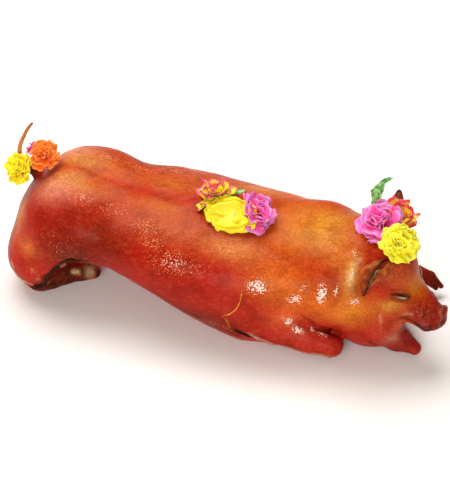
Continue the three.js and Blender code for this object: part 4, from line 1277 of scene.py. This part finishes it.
class PIG_OT_flowers(bpy.types.Operator):
    """Adds the carnations at the tail, on the back and on the brow"""

    bl_idname = "roast_pig.flowers"
    bl_label = "Add Carnations"

    def execute(self, context):
        settings = context.scene.garnish_settings
        tissues = {}
        for finish, (_, title, codes, rim_start) in FINISHES.items():
            colours = (linear(code) if code.startswith("#") else getattr(settings, code) for code in codes)
            tissues[finish] = petal_tissue(title, *colours, rim_start)
        placed = []
        for seed, (name, (at, facing, radius, finish)) in enumerate(BLOOMS.items()):
            whorls, frill, stretch = FORMS.get(finish, (FRILLED_WHORLS, 1, (1, 1, 1)))
            points, along, tone, count = petals(whorls, radius, frill * settings.frill, FIRST_SEED + seed)
            points = np.array(at, float) + turned(points * stretch, facing)
            clear = clear_of(points, count, placed)
            kept = np.repeat(clear, len(points) // count)
            placed.append((at, radius))
            bloom = make_piece(name + "_petals", points[kept], sheet_faces(*PETAL_GRID, clear.sum()),
                               tissues[finish], [name])
            store(bloom, along=along[kept], tone=tone[kept])
            thicken(bloom, settings.petal_thickness)
        return {"FINISHED"}


class PIG_OT_leaves(bpy.types.Operator):
    """Adds the leaf on the back and the leaf on the brow"""

    bl_idname = "roast_pig.leaves"
    bl_label = "Add Leaves"

    def execute(self, context):
        green = leaf_tissue(context.scene.garnish_settings.leaf)
        for name, shape in LEAVES.items():
            points, midrib = leaf_points(*shape)
            leaf = make_piece(name + "_blade", points, sheet_faces(*LEAF_GRID), green, [name])
            store(leaf, along=midrib)
            thicken(leaf, LEAF_THICKNESS * MM)
        return {"FINISHED"}


# The camera looks down at the pig from its right and a little ahead. Angles are in degrees, lens and sensor
# in mm, the shift in pixels over the render's height, and distance, target and reach in metres.
RENDER_HEIGHT = 491
CAMERA = {"azimuth": 18, "height": 43, "distance": 1.8, "target": (0, 0, 0.08), "lens": 97.0, "sensor": 36,
          "shift": (-3 / RENDER_HEIGHT, 2.5 / RENDER_HEIGHT), "reach": 50}
FLOOR_REACH, FLOOR_GAP = 4, 0.0004  # the gap keeps the floor clear of the flat belly
FLOOR_GRID = (9, 9)
SURROUND_COLOUR = "#FFEEDC"

# Lights, in metres: place, target, size and the setting that holds the power.
LIGHTS = {
    "overhead_softbox": ((-0.45, 0.65, 1.5), (0, 0, 0.1), (1.9, 0.9), "softbox_power"),
    "front_light": ((0.2, -1.55, 0.85), (0.05, 0, 0.08), (1.1, 0.9), "front_power"),
}


def aimed(location, target):
    """A place and a turn that looks from one point to another with no roll."""
    back = (Vector(location) - Vector(target)).normalized()
    right = Vector((0, 0, 1)).cross(back).normalized()
    axes = Matrix((right, back.cross(right), back)).transposed()
    return Matrix.Translation(location) @ axes.to_4x4()


def add_light(name, location, target, size, power):
    """A soft rectangular light that faces a target."""
    lamp = bpy.data.lights.new(name, "AREA")
    lamp.shape, lamp.size, lamp.size_y, lamp.energy = "RECTANGLE", size[0], size[1], power
    light = bpy.data.objects.new(name, lamp)
    light.matrix_world = aimed(location, target)
    bpy.context.scene.collection.objects.link(light)


class PIG_OT_stage(bpy.types.Operator):
    """Adds the floor, the lights and the camera"""

    bl_idname = "roast_pig.stage"
    bl_label = "Add Stage"

    def execute(self, context):
        settings = context.scene.stage_settings
        mesh = bpy.data.meshes.new("floor")
        edge = np.linspace(-FLOOR_REACH, FLOOR_REACH, FLOOR_GRID[0])
        level = np.full(FLOOR_GRID, -FLOOR_GAP)
        grid = np.stack([*np.meshgrid(edge, edge, indexing="ij"), level], -1).reshape(-1, 3)
        mesh.from_pydata(grid.tolist(), [], sheet_faces(*FLOOR_GRID)[:, ::-1].tolist())
        mesh.materials.append(pale_floor(settings.floor))
        floor = bpy.data.objects.new("floor", mesh)
        context.scene.collection.objects.link(floor)
        floor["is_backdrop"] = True
        for name, (place, target, size, power) in LIGHTS.items():
            add_light(name, place, target, size, getattr(settings, power))
        world = bpy.data.worlds.new("soft_surround")
        world.use_nodes = True
        backdrop = world.node_tree.nodes["Background"]
        backdrop.inputs["Color"].default_value = (*linear(SURROUND_COLOUR), 1)
        backdrop.inputs["Strength"].default_value = settings.surround
        context.scene.world = world
        context.scene.view_settings.view_transform = "Standard"
        lens = bpy.data.cameras.new("camera")
        lens.lens, lens.sensor_width, lens.clip_end = CAMERA["lens"], CAMERA["sensor"], CAMERA["reach"]
        lens.shift_x, lens.shift_y = CAMERA["shift"]
        azimuth, height = math.radians(CAMERA["azimuth"]), math.radians(CAMERA["height"])
        ahead = math.cos(height)
        back = Vector((math.sin(azimuth) * ahead, -math.cos(azimuth) * ahead, math.sin(height)))
        target = Vector(CAMERA["target"])
        camera = bpy.data.objects.new("camera", lens)
        camera.matrix_world = aimed(target + CAMERA["distance"] * back, target)
        context.scene.collection.objects.link(camera)
        context.scene.camera = camera
        return {"FINISHED"}


OPERATORS = (PIG_OT_stage, PIG_OT_carcass, PIG_OT_ears, PIG_OT_trimmings, PIG_OT_flowers, PIG_OT_leaves)
SETTINGS = {
    "carcass_settings": CarcassSettings, "garnish_settings": GarnishSettings, "stage_settings": StageSettings,
}


class PIG_PT_panel(bpy.types.Panel):
    """Lists the steps that build the roast pig"""

    bl_idname = "PIG_PT_panel"
    bl_label = "Roast Pig"
    bl_space_type = "VIEW_3D"
    bl_region_type = "UI"
    bl_category = "Roast Pig"

    def draw(self, context):
        for operator in OPERATORS:
            self.layout.operator(operator.bl_idname)


def register():
    for settings in SETTINGS.values():
        bpy.utils.register_class(settings)
    for name, settings in SETTINGS.items():
        setattr(bpy.types.Scene, name, bpy.props.PointerProperty(type=settings))
    for shown in (*OPERATORS, PIG_PT_panel):
        bpy.utils.register_class(shown)


def unregister():
    for shown in (PIG_PT_panel, *reversed(OPERATORS)):
        bpy.utils.unregister_class(shown)
    for name, settings in SETTINGS.items():
        delattr(bpy.types.Scene, name)
        bpy.utils.unregister_class(settings)


def corners():
    """The lowest and the highest corner of the whole object, as plain lists."""
    return [[float(value) for value in corner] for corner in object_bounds()]


def main():
    register()
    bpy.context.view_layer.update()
    bpy.ops.roast_pig.stage()
    bpy.ops.roast_pig.carcass()
    bpy.ops.roast_pig.ears()
    bpy.ops.roast_pig.trimmings()
    bpy.ops.roast_pig.flowers()
    bpy.ops.roast_pig.leaves()


if __name__ == "__main__":
    main()
